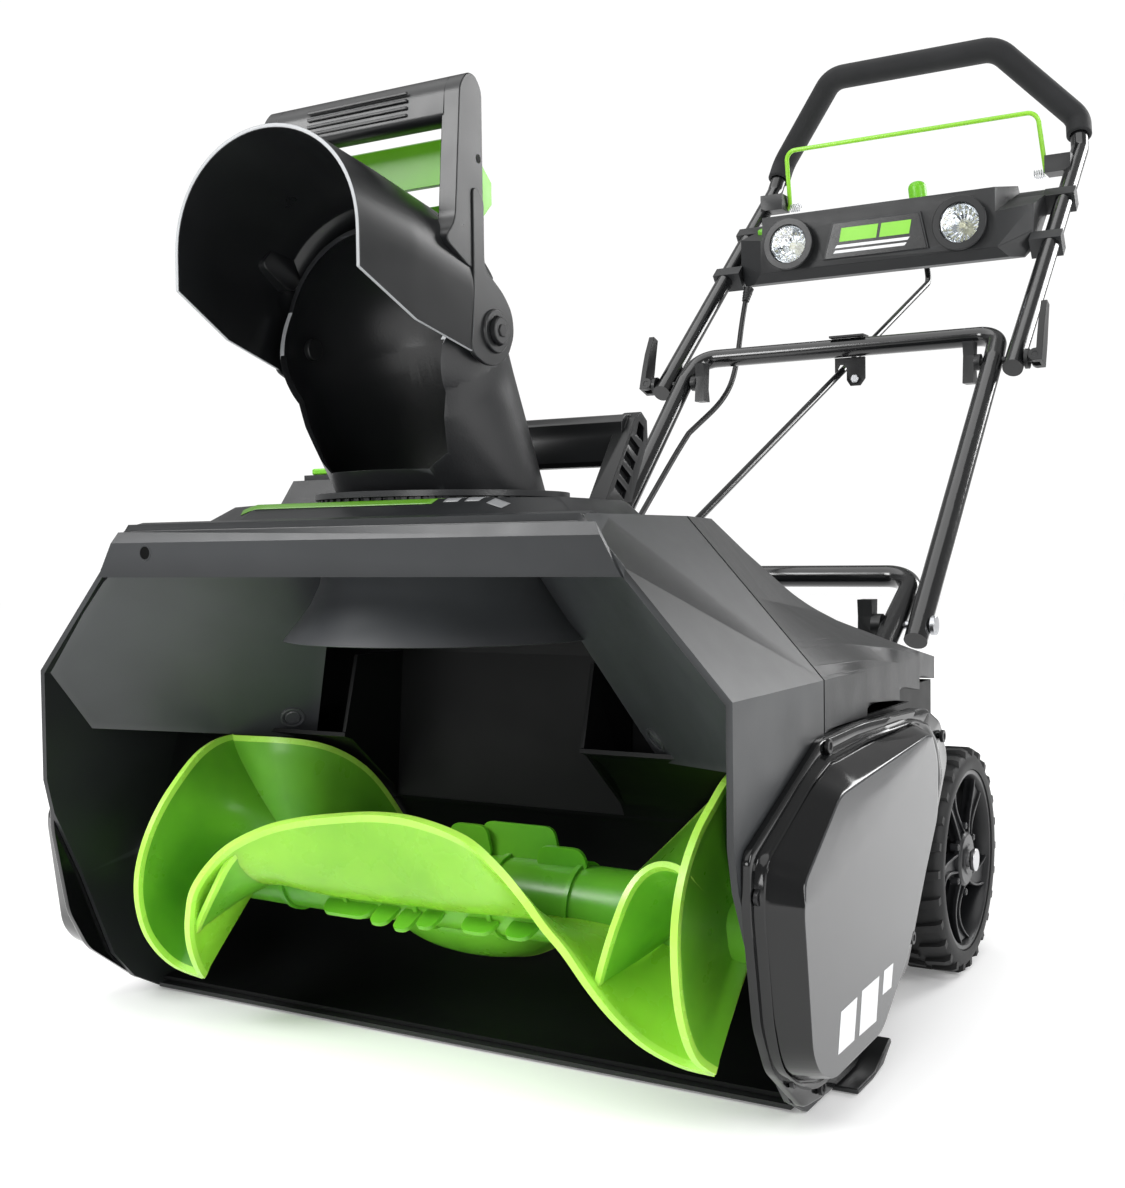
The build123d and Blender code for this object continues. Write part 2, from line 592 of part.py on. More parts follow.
def arch(y, half, zb, zs, zt, inset=0.0):
    """Upright arch section at a given Y: straight sides from zb to zs, round top at zt."""
    h = half - inset
    with BuildSketch(Plane.XZ.offset(-y)) as sk:
        with BuildLine():
            n = 24
            pts = [(-h, zb - 3 * inset), (h, zb - 3 * inset)]
            for k in range(n + 1):
                a = pi * k / n
                pts.append((h * cos(a), zs + (zt - inset - zs) * sin(a) ** 0.92))
            Polyline(*pts, close=True)
        make_face()
    return sk.sketch


with BuildPart() as deflector_hood:
    loft(sections=[arch(-58, 71, 500, 520, 590), arch(-10, 75.5, 476, 512, 580), arch(46, 80, 462, 500, 567)], ruled=True)
    loft(sections=[arch(-59, 71, 494, 520, 590, 2.6), arch(-10, 75.5, 470, 512, 580, 2.6), arch(47, 80, 450, 500, 567, 2.6)],
         ruled=True, mode=Mode.SUBTRACT)
    # cheeks that carry the pivots
    for s in (1, -1):
        with BuildSketch(Plane.YZ.offset(77.2 if s > 0 else -80.2)) as sk:
            with BuildLine():
                Polyline((40, 462), (57, 455.5), (70, 456.5), (82, 463), (90, 478), (88, 492), (78, 503),
                         (56, 516), (56, 560), (44, 566), (44, 500), close=True)
            make_face()
            with Locations((PIV_Y, PIV_Z)):
                Circle(4.1, mode=Mode.SUBTRACT)
        extrude(to_extrude=sk.sketch, amount=3)
        # upright of the handle
        poly_x([(14, 528), (26, 540), (33, 625), (41, 634), (50, 634), (57, 626), (57, 530), (46, 512)],
               min(s * 66, s * 79), max(s * 66, s * 79))
    # grip bar across
    poly_x([(31, 606), (33, 625), (41, 634), (50, 634), (55, 628), (54, 608), (48, 604), (36, 603)], -68, 68)
    # clear everything inside the arch again
    loft(sections=[arch(-59, 71, 494, 520, 590, 2.6), arch(-10, 75.5, 470, 512, 580, 2.6), arch(58, 81, 450, 500, 565, 2.7)],
         ruled=True, mode=Mode.SUBTRACT)
    # bores of the lever pin
    disc_x(LEVER_Y, LEVER_Z, 3.05, -90, 90, mode=Mode.SUBTRACT)
deflector_hood.part.label = "deflector_hood"

LEV = [(60.5, 566), (60.5, 592), (60, 602), (60, 618), (66, 616), (72, 607), (71, 594), (90, 578), (90, 564), (66, 541), (61, 545)]
with BuildPart() as release_lever:
    for s in (1, -1):
        poly_x(LEV, min(s * 58, s * 64), max(s * 58, s * 64))
        poly_x([(47, 578), (62, 574), (62, 592), (52, 592), (47, 588)], min(s * 60, s * 64), max(s * 60, s * 64))
        disc_x(LEVER_Y, LEVER_Z, 3.0, s * 60, s * 79)
    poly_x([(61, 574), (61, 602), (65, 604), (70, 596), (74, 590), (70, 584), (66, 574)], -60, 60)
    poly_x([(80, 566), (90, 566), (90, 560), (84, 556)], -60, 60)
release_lever.part.label = "release_lever"

# =============================================================== crank
B = Vector(18, 1250, 695)
E = Vector(-30.5, 467.7, 306.3)
CR_D = (B - E).normalized()
K0 = Vector(1.5, 1250, 798)
with BuildPart() as crank_rod:
    tube_path([tuple(E), tuple(B), tuple(B + (K0 + Vector(-0.8, 0, 38) - B).normalized() * 131)], 16, 4.0)
    disc_on(tuple(E), tuple(-CR_D), 4.0, 1.0)
    disc_on(tuple(E - CR_D * 22), tuple(CR_D), 6.5, 26)
crank_rod.part.label = "crank_rod"

KD = (K0 + Vector(-0.8, 0, 38) - B).normalized()
KBASE = B + KD * 92
with BuildPart() as crank_knob:
    with BuildSketch(Plane(origin=tuple(KBASE), x_dir=(0, 1, 0), z_dir=tuple(KD))) as sk:
        Circle(9)
    extrude(to_extrude=sk.sketch, amount=12)
    with BuildSketch(Plane(origin=tuple(KBASE + KD * 12), x_dir=(0, 1, 0), z_dir=tuple(KD))) as sk:
        Circle(12)
    extrude(to_extrude=sk.sketch, amount=34)
    fillet(crank_knob.faces().sort_by(Axis.Z)[-1].edges(), 9)
    with BuildSketch(Plane(origin=tuple(KBASE - KD * 1), x_dir=(0, 1, 0), z_dir=tuple(KD))) as sk:
        Circle(4.08)
    extrude(to_extrude=sk.sketch, amount=41, mode=Mode.SUBTRACT)
crank_knob.part.label = "crank_knob"

# ============================================================ middle handle
with BuildPart() as middle_handle:
    sl = (J1_Z - J0_Z) / (J1_Y - J0_Y)
    yb, zb = J0_Y - 14, J0_Z - 14 * sl
    yt, zt = 948.0, 573.0
    tube_path([(-MID_X, yb, zb), (-MID_X, J1_Y + 2, J1_Z + 2 * sl), (-MID_X + 4, yt, zt), (MID_X - 4, yt, zt),
               (MID_X, J1_Y + 2, J1_Z + 2 * sl), (MID_X, yb, zb)], [16, 24, 24, 16], TUBE)
    # the straight run of the crossbar is one plain round bar
    with Locations((0, yt, zt)):
        Box(300, 40, 40, mode=Mode.SUBTRACT)
    disc_x(yt, zt, TUBE, -150, 150)
    for s in (1, -1):
        disc_x(J0_Y, J0_Z, 4.05, s * (MID_X - 20), s * (MID_X + 20), mode=Mode.SUBTRACT)
        disc_x(J1_Y, J1_Z, 4.2, s * (MID_X - 20), s * (MID_X + 20), mode=Mode.SUBTRACT)
middle_handle.part.label = "middle_handle"

ROD_AT = E + CR_D * ((952 - E.Y) / CR_D.Y)     # where the rod passes the crossbar
with BuildPart() as rod_bracket:
    # plate hung from the crossbar, with an open notch for the rod
    rx, rz = ROD_AT.X, ROD_AT.Z
    poly_y([(rx - 9, 561), (rx + 28, 561), (rx + 28, 536), (rx + 22, 528), (rx + 10, 528), (rx + 5.5, 535),
            (rx + 5.5, rz + 2), (rx + 3, rz + 6.6), (rx - 3, rz + 6.6), (rx - 5.5, rz + 2), (rx - 5.5, 540), (rx - 9, 545)], 950, 952.5)
    poly_y([(rx - 9, 561), (rx + 28, 561), (rx + 28, 561.5), (rx - 9, 561.5)], 948, 952.5)
    # clip over the top of the bar
    poly_x([(938, 584.4), (958, 584.4), (958, 587), (938, 587)], rx - 12, rx + 30)
rod_bracket.part.label = "rod_bracket"

# ============================================================= upper handle
US = (0.8043 - 0.5801) / (1.2248 - 0.9623)
UL = Vector(0, 1, US).normalized()


def on_leg(t):
    """Point at a distance t up the leg from the upper joint."""
    return (J1_Y + UL.Y * t, J1_Z + UL.Z * t)


def pt(x, t):
    y, z = on_leg(t)
    return (x, y, z)


with BuildPart() as upper_handle:
    y0, z0 = on_leg(-16)
    up_pts = [(-UP_X, y0, z0), pt(-UP_X, 477), (-UP_X + 6, 1290, 895), (-112, 1236, 987), (112, 1236, 987),
              (UP_X - 6, 1290, 895), pt(UP_X, 477), (UP_X, y0, z0)]
    tube_path(up_pts, [24, 20, 36, 36, 20, 24], TUBE)
    for s in (1, -1):
        disc_x(J1_Y, J1_Z, 4.05, s * (UP_X - 20), s * (UP_X + 20), mode=Mode.SUBTRACT)
upper_handle.part.label = "upper_handle"

g0 = Vector(*pt(-UP_X, 477))
with BuildPart() as foam_grip:
    d0 = (Vector(-UP_X + 6, 1290, 895) - g0).normalized()
    ga = g0 + d0 * 22
    pts = [tuple(ga), (-UP_X + 6, 1290, 895), (-112, 1236, 987), (112, 1236, 987), (UP_X - 6, 1290, 895),
           (-ga.X, ga.Y, ga.Z)]
    tube_path(pts, [20, 36, 36, 20], GRIP_R)
    tube_path([tuple(ga - d0 * 3), (-UP_X + 6, 1290, 895), (-112, 1236, 987), (112, 1236, 987), (UP_X - 6, 1290, 895),
               (-(ga - d0 * 3).X, (ga - d0 * 3).Y, (ga - d0 * 3).Z)], [20, 36, 36, 20], TUBE + 0.02, mode=Mode.SUBTRACT)
foam_grip.part.label = "foam_grip"

# ---------------------------------------------------------------- panel
LAMP_X, LAMP_Y, LAMP_Z = 110.0, 1070.0, 728.0
PANEL = Plane(origin=(0, LAMP_Y, LAMP_Z), x_dir=(1, 0, 0), z_dir=(0, -1, 0))   # local z faces forwards
SIDE = [(1078, 684), (1070, 696), (1070, 777), (1081, 787), (1150, 797), (1189.8, 799.5), (1205.4, 779.8), (1093.3, 684)]
FRONT = [(-190, 702), (-180, 684), (180, 684), (190, 702), (190, 800), (-190, 800)]
PLAN = [(-146, 1066), (146, 1066), (190, 1094), (190, 1210), (-190, 1210), (-190, 1094)]
WING = Plane(origin=(-172, 1141, 764.7), x_dir=(1, 0, 0), z_dir=(0, -0.3482, 0.9375))   # top of the left wing


def inset_prism(pts, plane, inset, length, mode):
    with BuildSketch(plane) as sk:
        with BuildLine():
            Polyline(*pts, close=True)
        make_face()
        if inset:
            offset(amount=-inset, kind=Kind.INTERSECTION, mode=Mode.REPLACE)
    extrude(to_extrude=sk.sketch, amount=length, mode=mode)


def panel_solid(inset):
    inset_prism(SIDE, Plane.YZ.offset(-190 + inset), inset, 380 - 2 * inset, Mode.ADD)
    inset_prism([(x, z) for x, z in FRONT], Plane.XZ.offset(-1060), inset, -160, Mode.INTERSECT)
    inset_prism(PLAN, Plane.XY.offset(680), inset, 130, Mode.INTERSECT)
    # the wings beside the lamps are lower
    for s in (1, -1):
        d = inset * 1.06
        poly_x([(1050, 731.3 - d), (1215, 792.6 - d), (1215, 830), (1050, 830)],
               min(s * (150 - inset), s * 195), max(s * (150 - inset), s * 195), mode=Mode.SUBTRACT)


def parting(n):
    """(Y, Z) on the parting line at a height, n above the plane of the legs."""
    return lambda z: J1_Y + (z - J1_Z) / US - n * 1.54


with BuildPart() as panel_outer:
    panel_solid(0.0)
with BuildPart() as panel_inner:
    panel_solid(3.0)
fr, bk = parting(12.1), parting(11.9)
with BuildPart() as panel_front:
    add(panel_outer.part)
    add(panel_inner.part, mode=Mode.SUBTRACT)
    poly_x([(fr(670), 670), (fr(830), 830), (1400, 830), (1400, 670)], -250, 250, mode=Mode.SUBTRACT)
    with BuildSketch(PANEL.offset(-0.5)) as sk:
        with Locations((LAMP_X, 0), (-LAMP_X, 0)):
            Circle(30.5)
    extrude(to_extrude=sk.sketch, amount=8.5)
    with BuildSketch(PANEL.offset(-40)) as sk:
        with Locations((LAMP_X, 0), (-LAMP_X, 0)):
            Circle(28.05)
    extrude(to_extrude=sk.sketch, amount=60, mode=Mode.SUBTRACT)
    # raised plate between the lamps
    with BuildSketch(PANEL.offset(-0.5)) as sk:
        with BuildLine():
            Polyline((-66, -24), (70, -24), (60, 22), (-54, 22), close=True)
        make_face()
    extrude(to_extrude=sk.sketch, amount=3)
    with BuildSketch(WING.offset(-8)) as sk:
        RectangleRounded(17.8, 34.8, 7)
    extrude(to_extrude=sk.sketch, amount=16, mode=Mode.SUBTRACT)
panel_front.part.label = "panel_front"

with BuildPart() as panel_back:
    add(panel_outer.part)
    add(panel_inner.part, mode=Mode.SUBTRACT)
    poly_x([(bk(670), 670), (bk(830), 830), (1000, 830), (1000, 670)], -250, 250, mode=Mode.SUBTRACT)
    # clamps round the legs
    for s in (1, -1):
        for t in (246, 350):
            cy, cz = on_leg(t)
            with BuildSketch(Plane(origin=(s * 206, cy, cz), x_dir=(1, 0, 0), z_dir=(0, -UL.Z, UL.Y)).offset(-15)) as sk:
                Rectangle(37, 18)
            extrude(to_extrude=sk.sketch, amount=26.5)
        disc_on((s * UP_X,) + on_leg(180), (0, UL.Y, UL.Z), TUBE + 0.02, 230, mode=Mode.SUBTRACT)
    with BuildSketch(WING.offset(-14)) as sk:
        Rectangle(24.4, 42.4)
    extrude(to_extrude=sk.sketch, amount=10.9, mode=Mode.SUBTRACT)
    with BuildSketch(WING.offset(-14)) as sk:
        RectangleRounded(17.8, 34.8, 7)
    extrude(to_extrude=sk.sketch, amount=30, mode=Mode.SUBTRACT)
panel_back.part.label = "panel_back"


def lamp_ring(r0, r1, z0, z1):
    with BuildSketch(PANEL.offset(z0)) as sk:
        with Locations((LAMP_X, 0), (-LAMP_X, 0)):
            Circle(r1)
            if r0:
                Circle(r0, mode=Mode.SUBTRACT)
    extrude(to_extrude=sk.sketch, amount=z1 - z0)


with BuildPart() as lamp_bezels:
    lamp_ring(24.0, 28.0, -12, 8.05)
    lamp_ring(24.0, 33.0, 8.05, 13)
lamp_bezels.part.label = "lamp_bezels"

with BuildPart() as lamp_reflectors:
    for s in (1, -1):
        o = Vector(s * LAMP_X, LAMP_Y, LAMP_Z)
        with BuildSketch(Plane(origin=o, x_dir=(1, 0, 0), z_dir=(0, 0, 1))) as sk:
            with BuildLine():
                Polyline((0, 14), (6, 14), (16, 9), (23.9, -6.5), (22.6, -6.5), (15, 7),
                         (5, 12), (0, 12), close=True)
            make_face()
        revolve(profiles=sk.sketch, axis=Axis(tuple(o), (0, 1, 0)))
lamp_reflectors.part.label = "lamp_reflectors"

with BuildPart() as lamp_lenses:
    lamp_ring(0, 23.9, 7.6, 11)
lamp_lenses.part.label = "lamp_lenses"

# switch box under the left wing, with the start button sliding in it
with BuildPart() as switch_box:
    with BuildSketch(WING.offset(-13.5)) as sk:
        Rectangle(24, 42)
    extrude(to_extrude=sk.sketch, amount=10.2)
    with BuildSketch(WING.offset(-11.5)) as sk:
        Rectangle(18.6, 36)
    extrude(to_extrude=sk.sketch, amount=12, mode=Mode.SUBTRACT)
switch_box.part.label = "switch_box"

with BuildPart() as start_button:
    with BuildSketch(WING.offset(-7.5)) as sk:
        RectangleRounded(17, 34, 6.6)
    extrude(to_extrude=sk.sketch, amount=14)
    fillet(start_button.faces().sort_by(Axis.Z)[-1].edges(), 3)
start_button.part.label = "start_button"

with BuildPart() as bail_mounts:
    for s in (1, -1):
        x0, x1 = (s * 178, s * (UP_X + 15))
        with Locations((s * 194, 1226, 822)):
            Box(32, 30, 22)
        disc_on((s * UP_X,) + on_leg(380), (0, UL.Y, UL.Z), TUBE + 0.02, 110, mode=Mode.SUBTRACT)
        disc_x(BAIL_Y, BAIL_Z, 3.1, s * 150, s * 192, mode=Mode.SUBTRACT)
bail_mounts.part.label = "bail_mounts"

with BuildPart() as bail:
    tube_path([(-188, BAIL_Y, BAIL_Z), (-175, BAIL_Y, BAIL_Z), (-170, 1209, 889), (170, 1209, 889),
               (175, BAIL_Y, BAIL_Z), (188, BAIL_Y, BAIL_Z)], [5, 14, 14, 5], 3.0)
bail.part.label = "bail"

# ------------------------------------------------- upper joint hardware
CAM_X = UP_X + TUBE + 4.5 + 7.2        # cross pin of the clamp lever
CAM_L = Vector(0, 0.316, 0.949).normalized()
CAM_A = Vector(0, 0.949, -0.316).normalized()
with BuildPart() as clamp_knobs:
    for s in (1, -1):
        disc_x(J1_Y, J1_Z, 4.0, s * 168, s * (CAM_X + 3.6))
        disc_x(J1_Y, J1_Z, 9.0, s * 168, s * (MID_X - TUBE - 1.5))
        poly_x([(J1_Y - 9, J1_Z - 23), (J1_Y + 9, J1_Z - 23), (J1_Y + 6, J1_Z - 8), (J1_Y + 9, J1_Z + 23),
                (J1_Y - 9, J1_Z + 23), (J1_Y - 6, J1_Z + 8)], min(s * 156, s * 168), max(s * 156, s * 168))
        disc_x(J1_Y, J1_Z, 11, s * (UP_X + TUBE + 0.1), s * (UP_X + TUBE + 4))
        disc_on((s * CAM_X, J1_Y - 10.5 * CAM_A.Y, J1_Z - 10.5 * CAM_A.Z), tuple(CAM_A), 3.0, 21)
clamp_knobs.part.label = "clamp_knobs"


def cam_at(s, across, up, out):
    """Point of a clamp lever: across the lever, up along it, outwards."""
    return (s * (CAM_X + out), J1_Y + CAM_A.Y * across + CAM_L.Y * up, J1_Z + CAM_A.Z * across + CAM_L.Z * up)


def cam_lever_shape(s):
    disc_on(cam_at(s, -11, 0, 0), tuple(CAM_A), 7.2, 22)
    arm = [(-11, -7), (11, -7), (11, 22), (9, 40), (7, 66), (-5, 66), (-10, 40), (-11, 22)]
    for lo, hi, rows in ((1.0, 8.0, arm),):
        with BuildSketch(Plane(origin=cam_at(s, 0, 0, lo), x_dir=tuple(CAM_A), z_dir=(s, 0, 0))) as sk:
            ysgn = 1.0 if Vector(sk.workplanes[0].y_dir).dot(CAM_L) > 0 else -1.0
            with BuildLine():
                Polyline(*[(a, b * ysgn) for a, b in rows], close=True)
            make_face()
        extrude(to_extrude=sk.sketch, amount=hi - lo)
    # slot that lets the lever swing round its bolt, and the bore of the cross pin
    with BuildSketch(Plane(origin=cam_at(s, -4.6, 0, 0), x_dir=(s, 0, 0), z_dir=tuple(CAM_A))) as sk:
        ysgn = 1.0 if Vector(sk.workplanes[0].y_dir).dot(CAM_L) > 0 else -1.0
        with BuildLine():
            Polyline((-20, -20 * ysgn), (4.4, -20 * ysgn), (4.4, 4.4 * ysgn), (-20, 4.4 * ysgn), close=True)
        make_face()
    extrude(to_extrude=sk.sketch, amount=9.2, mode=Mode.SUBTRACT)
    disc_on(cam_at(s, -4.6, 0, 0), tuple(CAM_A), 5.7, 9.2, mode=Mode.SUBTRACT)
    disc_on(cam_at(s, -15, 0, 0), tuple(CAM_A), 3.05, 30, mode=Mode.SUBTRACT)


with BuildPart() as cam_lever_right:
    cam_lever_shape(1)
cam_lever_right.part.label = "cam_lever_right"
with BuildPart() as cam_lever_left:
    cam_lever_shape(-1)
cam_lever_left.part.label = "cam_lever_left"

# ------------------------------------------------- lower joint hardware
with BuildPart() as frame_bolts:
    for s in (1, -1):
        disc_x(J0_Y, J0_Z, 4.0, s * 140, s * (MID_X + TUBE + 0.1))
        disc_x(J0_Y, J0_Z, 9.0, s * (MID_X + TUBE + 0.1), s * (MID_X + TUBE + 5))
frame_bolts.part.label = "frame_bolts"


def wing_knob(s):
    x0 = FRAME_X - TUBE - 0.4
    lo, hi = (x0 - 9, x0) if s > 0 else (-x0, -x0 + 9)
    disc_x(J0_Y, J0_Z, 10.5, lo, hi)
    lo2, hi2 = (x0 - 22, x0 - 8) if s > 0 else (-x0 + 8, -x0 + 22)
    poly_x([(J0_Y - 9, J0_Z - 24), (J0_Y + 9, J0_Z - 24), (J0_Y + 7, J0_Z - 8), (J0_Y + 9, J0_Z + 24),
            (J0_Y - 9, J0_Z + 24), (J0_Y - 7, J0_Z + 8)], lo2, hi2)
    disc_x(J0_Y, J0_Z, 4.05, s * 120, s * 200, mode=Mode.SUBTRACT)


with BuildPart() as wing_knob_right:
    wing_knob(1)
wing_knob_right.part.label = "wing_knob_right"
with BuildPart() as wing_knob_left:
    wing_knob(-1)
wing_knob_left.part.label = "wing_knob_left"

# ------------------------------------------------------------ battery door
with BuildPart() as battery_door:
    poly_z([(-176, 182), (-114, 182), (-120, 222), (-78, 258), (-78, 352), (-176, 352)], 396.4, 400.4)
    disc_x(357, 400.0, 3.6, -173.8, -75)
    poly_x([(351, 396.6), (357, 396.6), (357, 403), (351, 400.4)], -173.8, -78)
    disc_x(357, 400.0, 1.55, -180, -60, mode=Mode.SUBTRACT)
battery_door.part.label = "battery_door"

with BuildPart() as door_latch:
    poly_z([(-172, 184), (-116, 184), (-116, 206), (-172, 206)], 400.7, 405.5)
    fillet(door_latch.edges().filter_by(Axis.Z), 5)
door_latch.part.label = "door_latch"

# ------------------------------------------------------------------- cable
with BuildPart() as upper_cable:
    tube_path([(-176, 1085.6, 681.4), (-178, 1079, 664)], 0, 7.0)
    tube_path([(-178, 1079, 664), (-172, 1050, 622), (-158, 1010, 586), (-151, 978, 556)], [26, 30], 3.5)
upper_cable.part.label = "upper_cable"

with BuildPart() as middle_cable:
    tube_path([(-150.8, 977.4, 555.4), (-150, 946, 519), (-166, 880, 482), (-167, 730, 362), (-146, 664, 330)],
              [24, 40, 30], 3.5)
middle_cable.part.label = "middle_cable"

with BuildPart() as lower_cable:
    tube_path([(-145.7, 663, 329.4), (-134, 606, 286), (-120, 562, 262), (-112, 534.6, 256)], [40, 24], 3.5)
    disc_on((-112, 528.4, 256), (0, 1, 0), 7.0, 8)
lower_cable.part.label = "lower_cable"

# ================================================================= exports
lo = [1e9] * 3
hi = [-1e9] * 3


def placed(piece):
    """The piece moved to the machine's own origin, with its label kept."""
    bb = piece.part.bounding_box()
    for i, (a, b) in enumerate(zip(bb.min, bb.max)):
        lo[i], hi[i] = min(lo[i], a), max(hi[i], b)
    moved = piece.part.moved(TO_ORIGIN)
    moved.label = piece.part.label
    return moved


export_step(placed(auger_housing), "parts/auger_housing.step")
export_step(placed(rear_shell), "parts/rear_shell.step")
export_step(placed(base_pan), "parts/base_pan.step")
export_step(placed(trough_liner), "parts/trough_liner.step")
export_step(placed(funnel_panels), "parts/funnel_panels.step")
export_step(placed(scraper_bar), "parts/scraper_bar.step")
export_step(placed(side_cover_right), "parts/side_cover_right.step")
export_step(placed(side_cover_left), "parts/side_cover_left.step")
export_step(placed(housing_screws), "parts/housing_screws.step")
export_step(placed(skid_feet), "parts/skid_feet.step")
export_step(placed(chute_base), "parts/chute_base.step")
export_step(placed(carry_handle), "parts/carry_handle.step")
export_step(placed(lower_frame), "parts/lower_frame.step")
export_step(placed(axle), "parts/axle.step")
export_step(placed(motor_case), "parts/motor_case.step")
export_step(placed(motor_pulley), "parts/motor_pulley.step")
export_step(placed(auger_pulley), "parts/auger_pulley.step")
export_step(placed(drive_belt), "parts/drive_belt.step")
export_step(placed(idler_pulley), "parts/idler_pulley.step")
export_step(placed(auger_bearings), "parts/auger_bearings.step")
export_step(placed(controller_board), "parts/controller_board.step")
export_step(placed(battery_pack), "parts/battery_pack.step")
export_step(placed(chute_drive_box), "parts/chute_drive_box.step")
export_step(placed(auger_rotor), "parts/auger_rotor.step")
export_step(placed(auger_shaft), "parts/auger_shaft.step")
export_step(placed(tyre_right), "parts/tyre_right.step")
export_step(placed(rim_right), "parts/rim_right.step")
export_step(placed(tyre_left), "parts/tyre_left.step")
export_step(placed(rim_left), "parts/rim_left.step")
export_step(placed(chute_tube), "parts/chute_tube.step")
export_step(placed(chute_gear), "parts/chute_gear.step")
export_step(placed(pivot_bolts), "parts/pivot_bolts.step")
export_step(placed(deflector_hood), "parts/deflector_hood.step")
export_step(placed(release_lever), "parts/release_lever.step")
export_step(placed(crank_rod), "parts/crank_rod.step")
export_step(placed(crank_knob), "parts/crank_knob.step")
export_step(placed(middle_handle), "parts/middle_handle.step")
export_step(placed(rod_bracket), "parts/rod_bracket.step")
export_step(placed(upper_handle), "parts/upper_handle.step")
export_step(placed(foam_grip), "parts/foam_grip.step")
export_step(placed(panel_front), "parts/panel_front.step")
export_step(placed(panel_back), "parts/panel_back.step")
export_step(placed(lamp_bezels), "parts/lamp_bezels.step")
export_step(placed(lamp_reflectors), "parts/lamp_reflectors.step")
export_step(placed(lamp_lenses), "parts/lamp_lenses.step")
export_step(placed(switch_box), "parts/switch_box.step")
export_step(placed(start_button), "parts/start_button.step")
export_step(placed(bail_mounts), "parts/bail_mounts.step")
export_step(placed(bail), "parts/bail.step")
export_step(placed(clamp_knobs), "parts/clamp_knobs.step")
export_step(placed(cam_lever_right), "parts/cam_lever_right.step")
export_step(placed(cam_lever_left), "parts/cam_lever_left.step")
export_step(placed(frame_bolts), "parts/frame_bolts.step")
export_step(placed(wing_knob_right), "parts/wing_knob_right.step")
export_step(placed(wing_knob_left), "parts/wing_knob_left.step")
export_step(placed(battery_door), "parts/battery_door.step")
export_step(placed(door_latch), "parts/door_latch.step")
export_step(placed(upper_cable), "parts/upper_cable.step")
export_step(placed(middle_cable), "parts/middle_cable.step")
export_step(placed(lower_cable), "parts/lower_cable.step")

print("box", [round(v, 2) for v in lo], [round(v, 2) for v in hi], "Y middle", round((lo[1] + hi[1]) / 2, 3))
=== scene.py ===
import bmesh
import bpy
import json
import math

from mathutils import Matrix, Vector
from mathutils.bvhtree import BVHTree

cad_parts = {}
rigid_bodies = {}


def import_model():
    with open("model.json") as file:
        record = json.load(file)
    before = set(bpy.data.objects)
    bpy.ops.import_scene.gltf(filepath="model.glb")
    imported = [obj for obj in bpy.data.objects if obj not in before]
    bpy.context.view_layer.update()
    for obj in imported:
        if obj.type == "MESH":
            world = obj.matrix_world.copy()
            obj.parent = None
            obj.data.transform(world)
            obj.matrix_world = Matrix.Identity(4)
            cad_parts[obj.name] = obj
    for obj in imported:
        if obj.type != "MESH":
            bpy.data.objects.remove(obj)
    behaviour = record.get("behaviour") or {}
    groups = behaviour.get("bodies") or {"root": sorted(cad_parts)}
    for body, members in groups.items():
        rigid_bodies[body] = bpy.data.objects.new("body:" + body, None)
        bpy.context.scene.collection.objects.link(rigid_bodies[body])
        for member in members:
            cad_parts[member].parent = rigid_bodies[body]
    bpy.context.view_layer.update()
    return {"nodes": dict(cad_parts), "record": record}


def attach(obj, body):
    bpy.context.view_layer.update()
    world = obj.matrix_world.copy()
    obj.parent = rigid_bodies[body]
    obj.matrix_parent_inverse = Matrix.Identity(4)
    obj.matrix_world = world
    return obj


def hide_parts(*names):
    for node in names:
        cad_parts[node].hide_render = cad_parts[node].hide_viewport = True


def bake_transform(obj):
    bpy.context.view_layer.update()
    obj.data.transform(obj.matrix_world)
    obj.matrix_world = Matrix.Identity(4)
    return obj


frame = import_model()
NODES = frame["nodes"]
BODY = {n: b for b, ns in frame["record"]["behaviour"]["bodies"].items() for n in ns}
YM = 622.74


def D(x, y, z):
    """Drawing millimetres to the frame."""
    return Vector((x / 1000.0, (y - YM) / 1000.0, z / 1000.0))


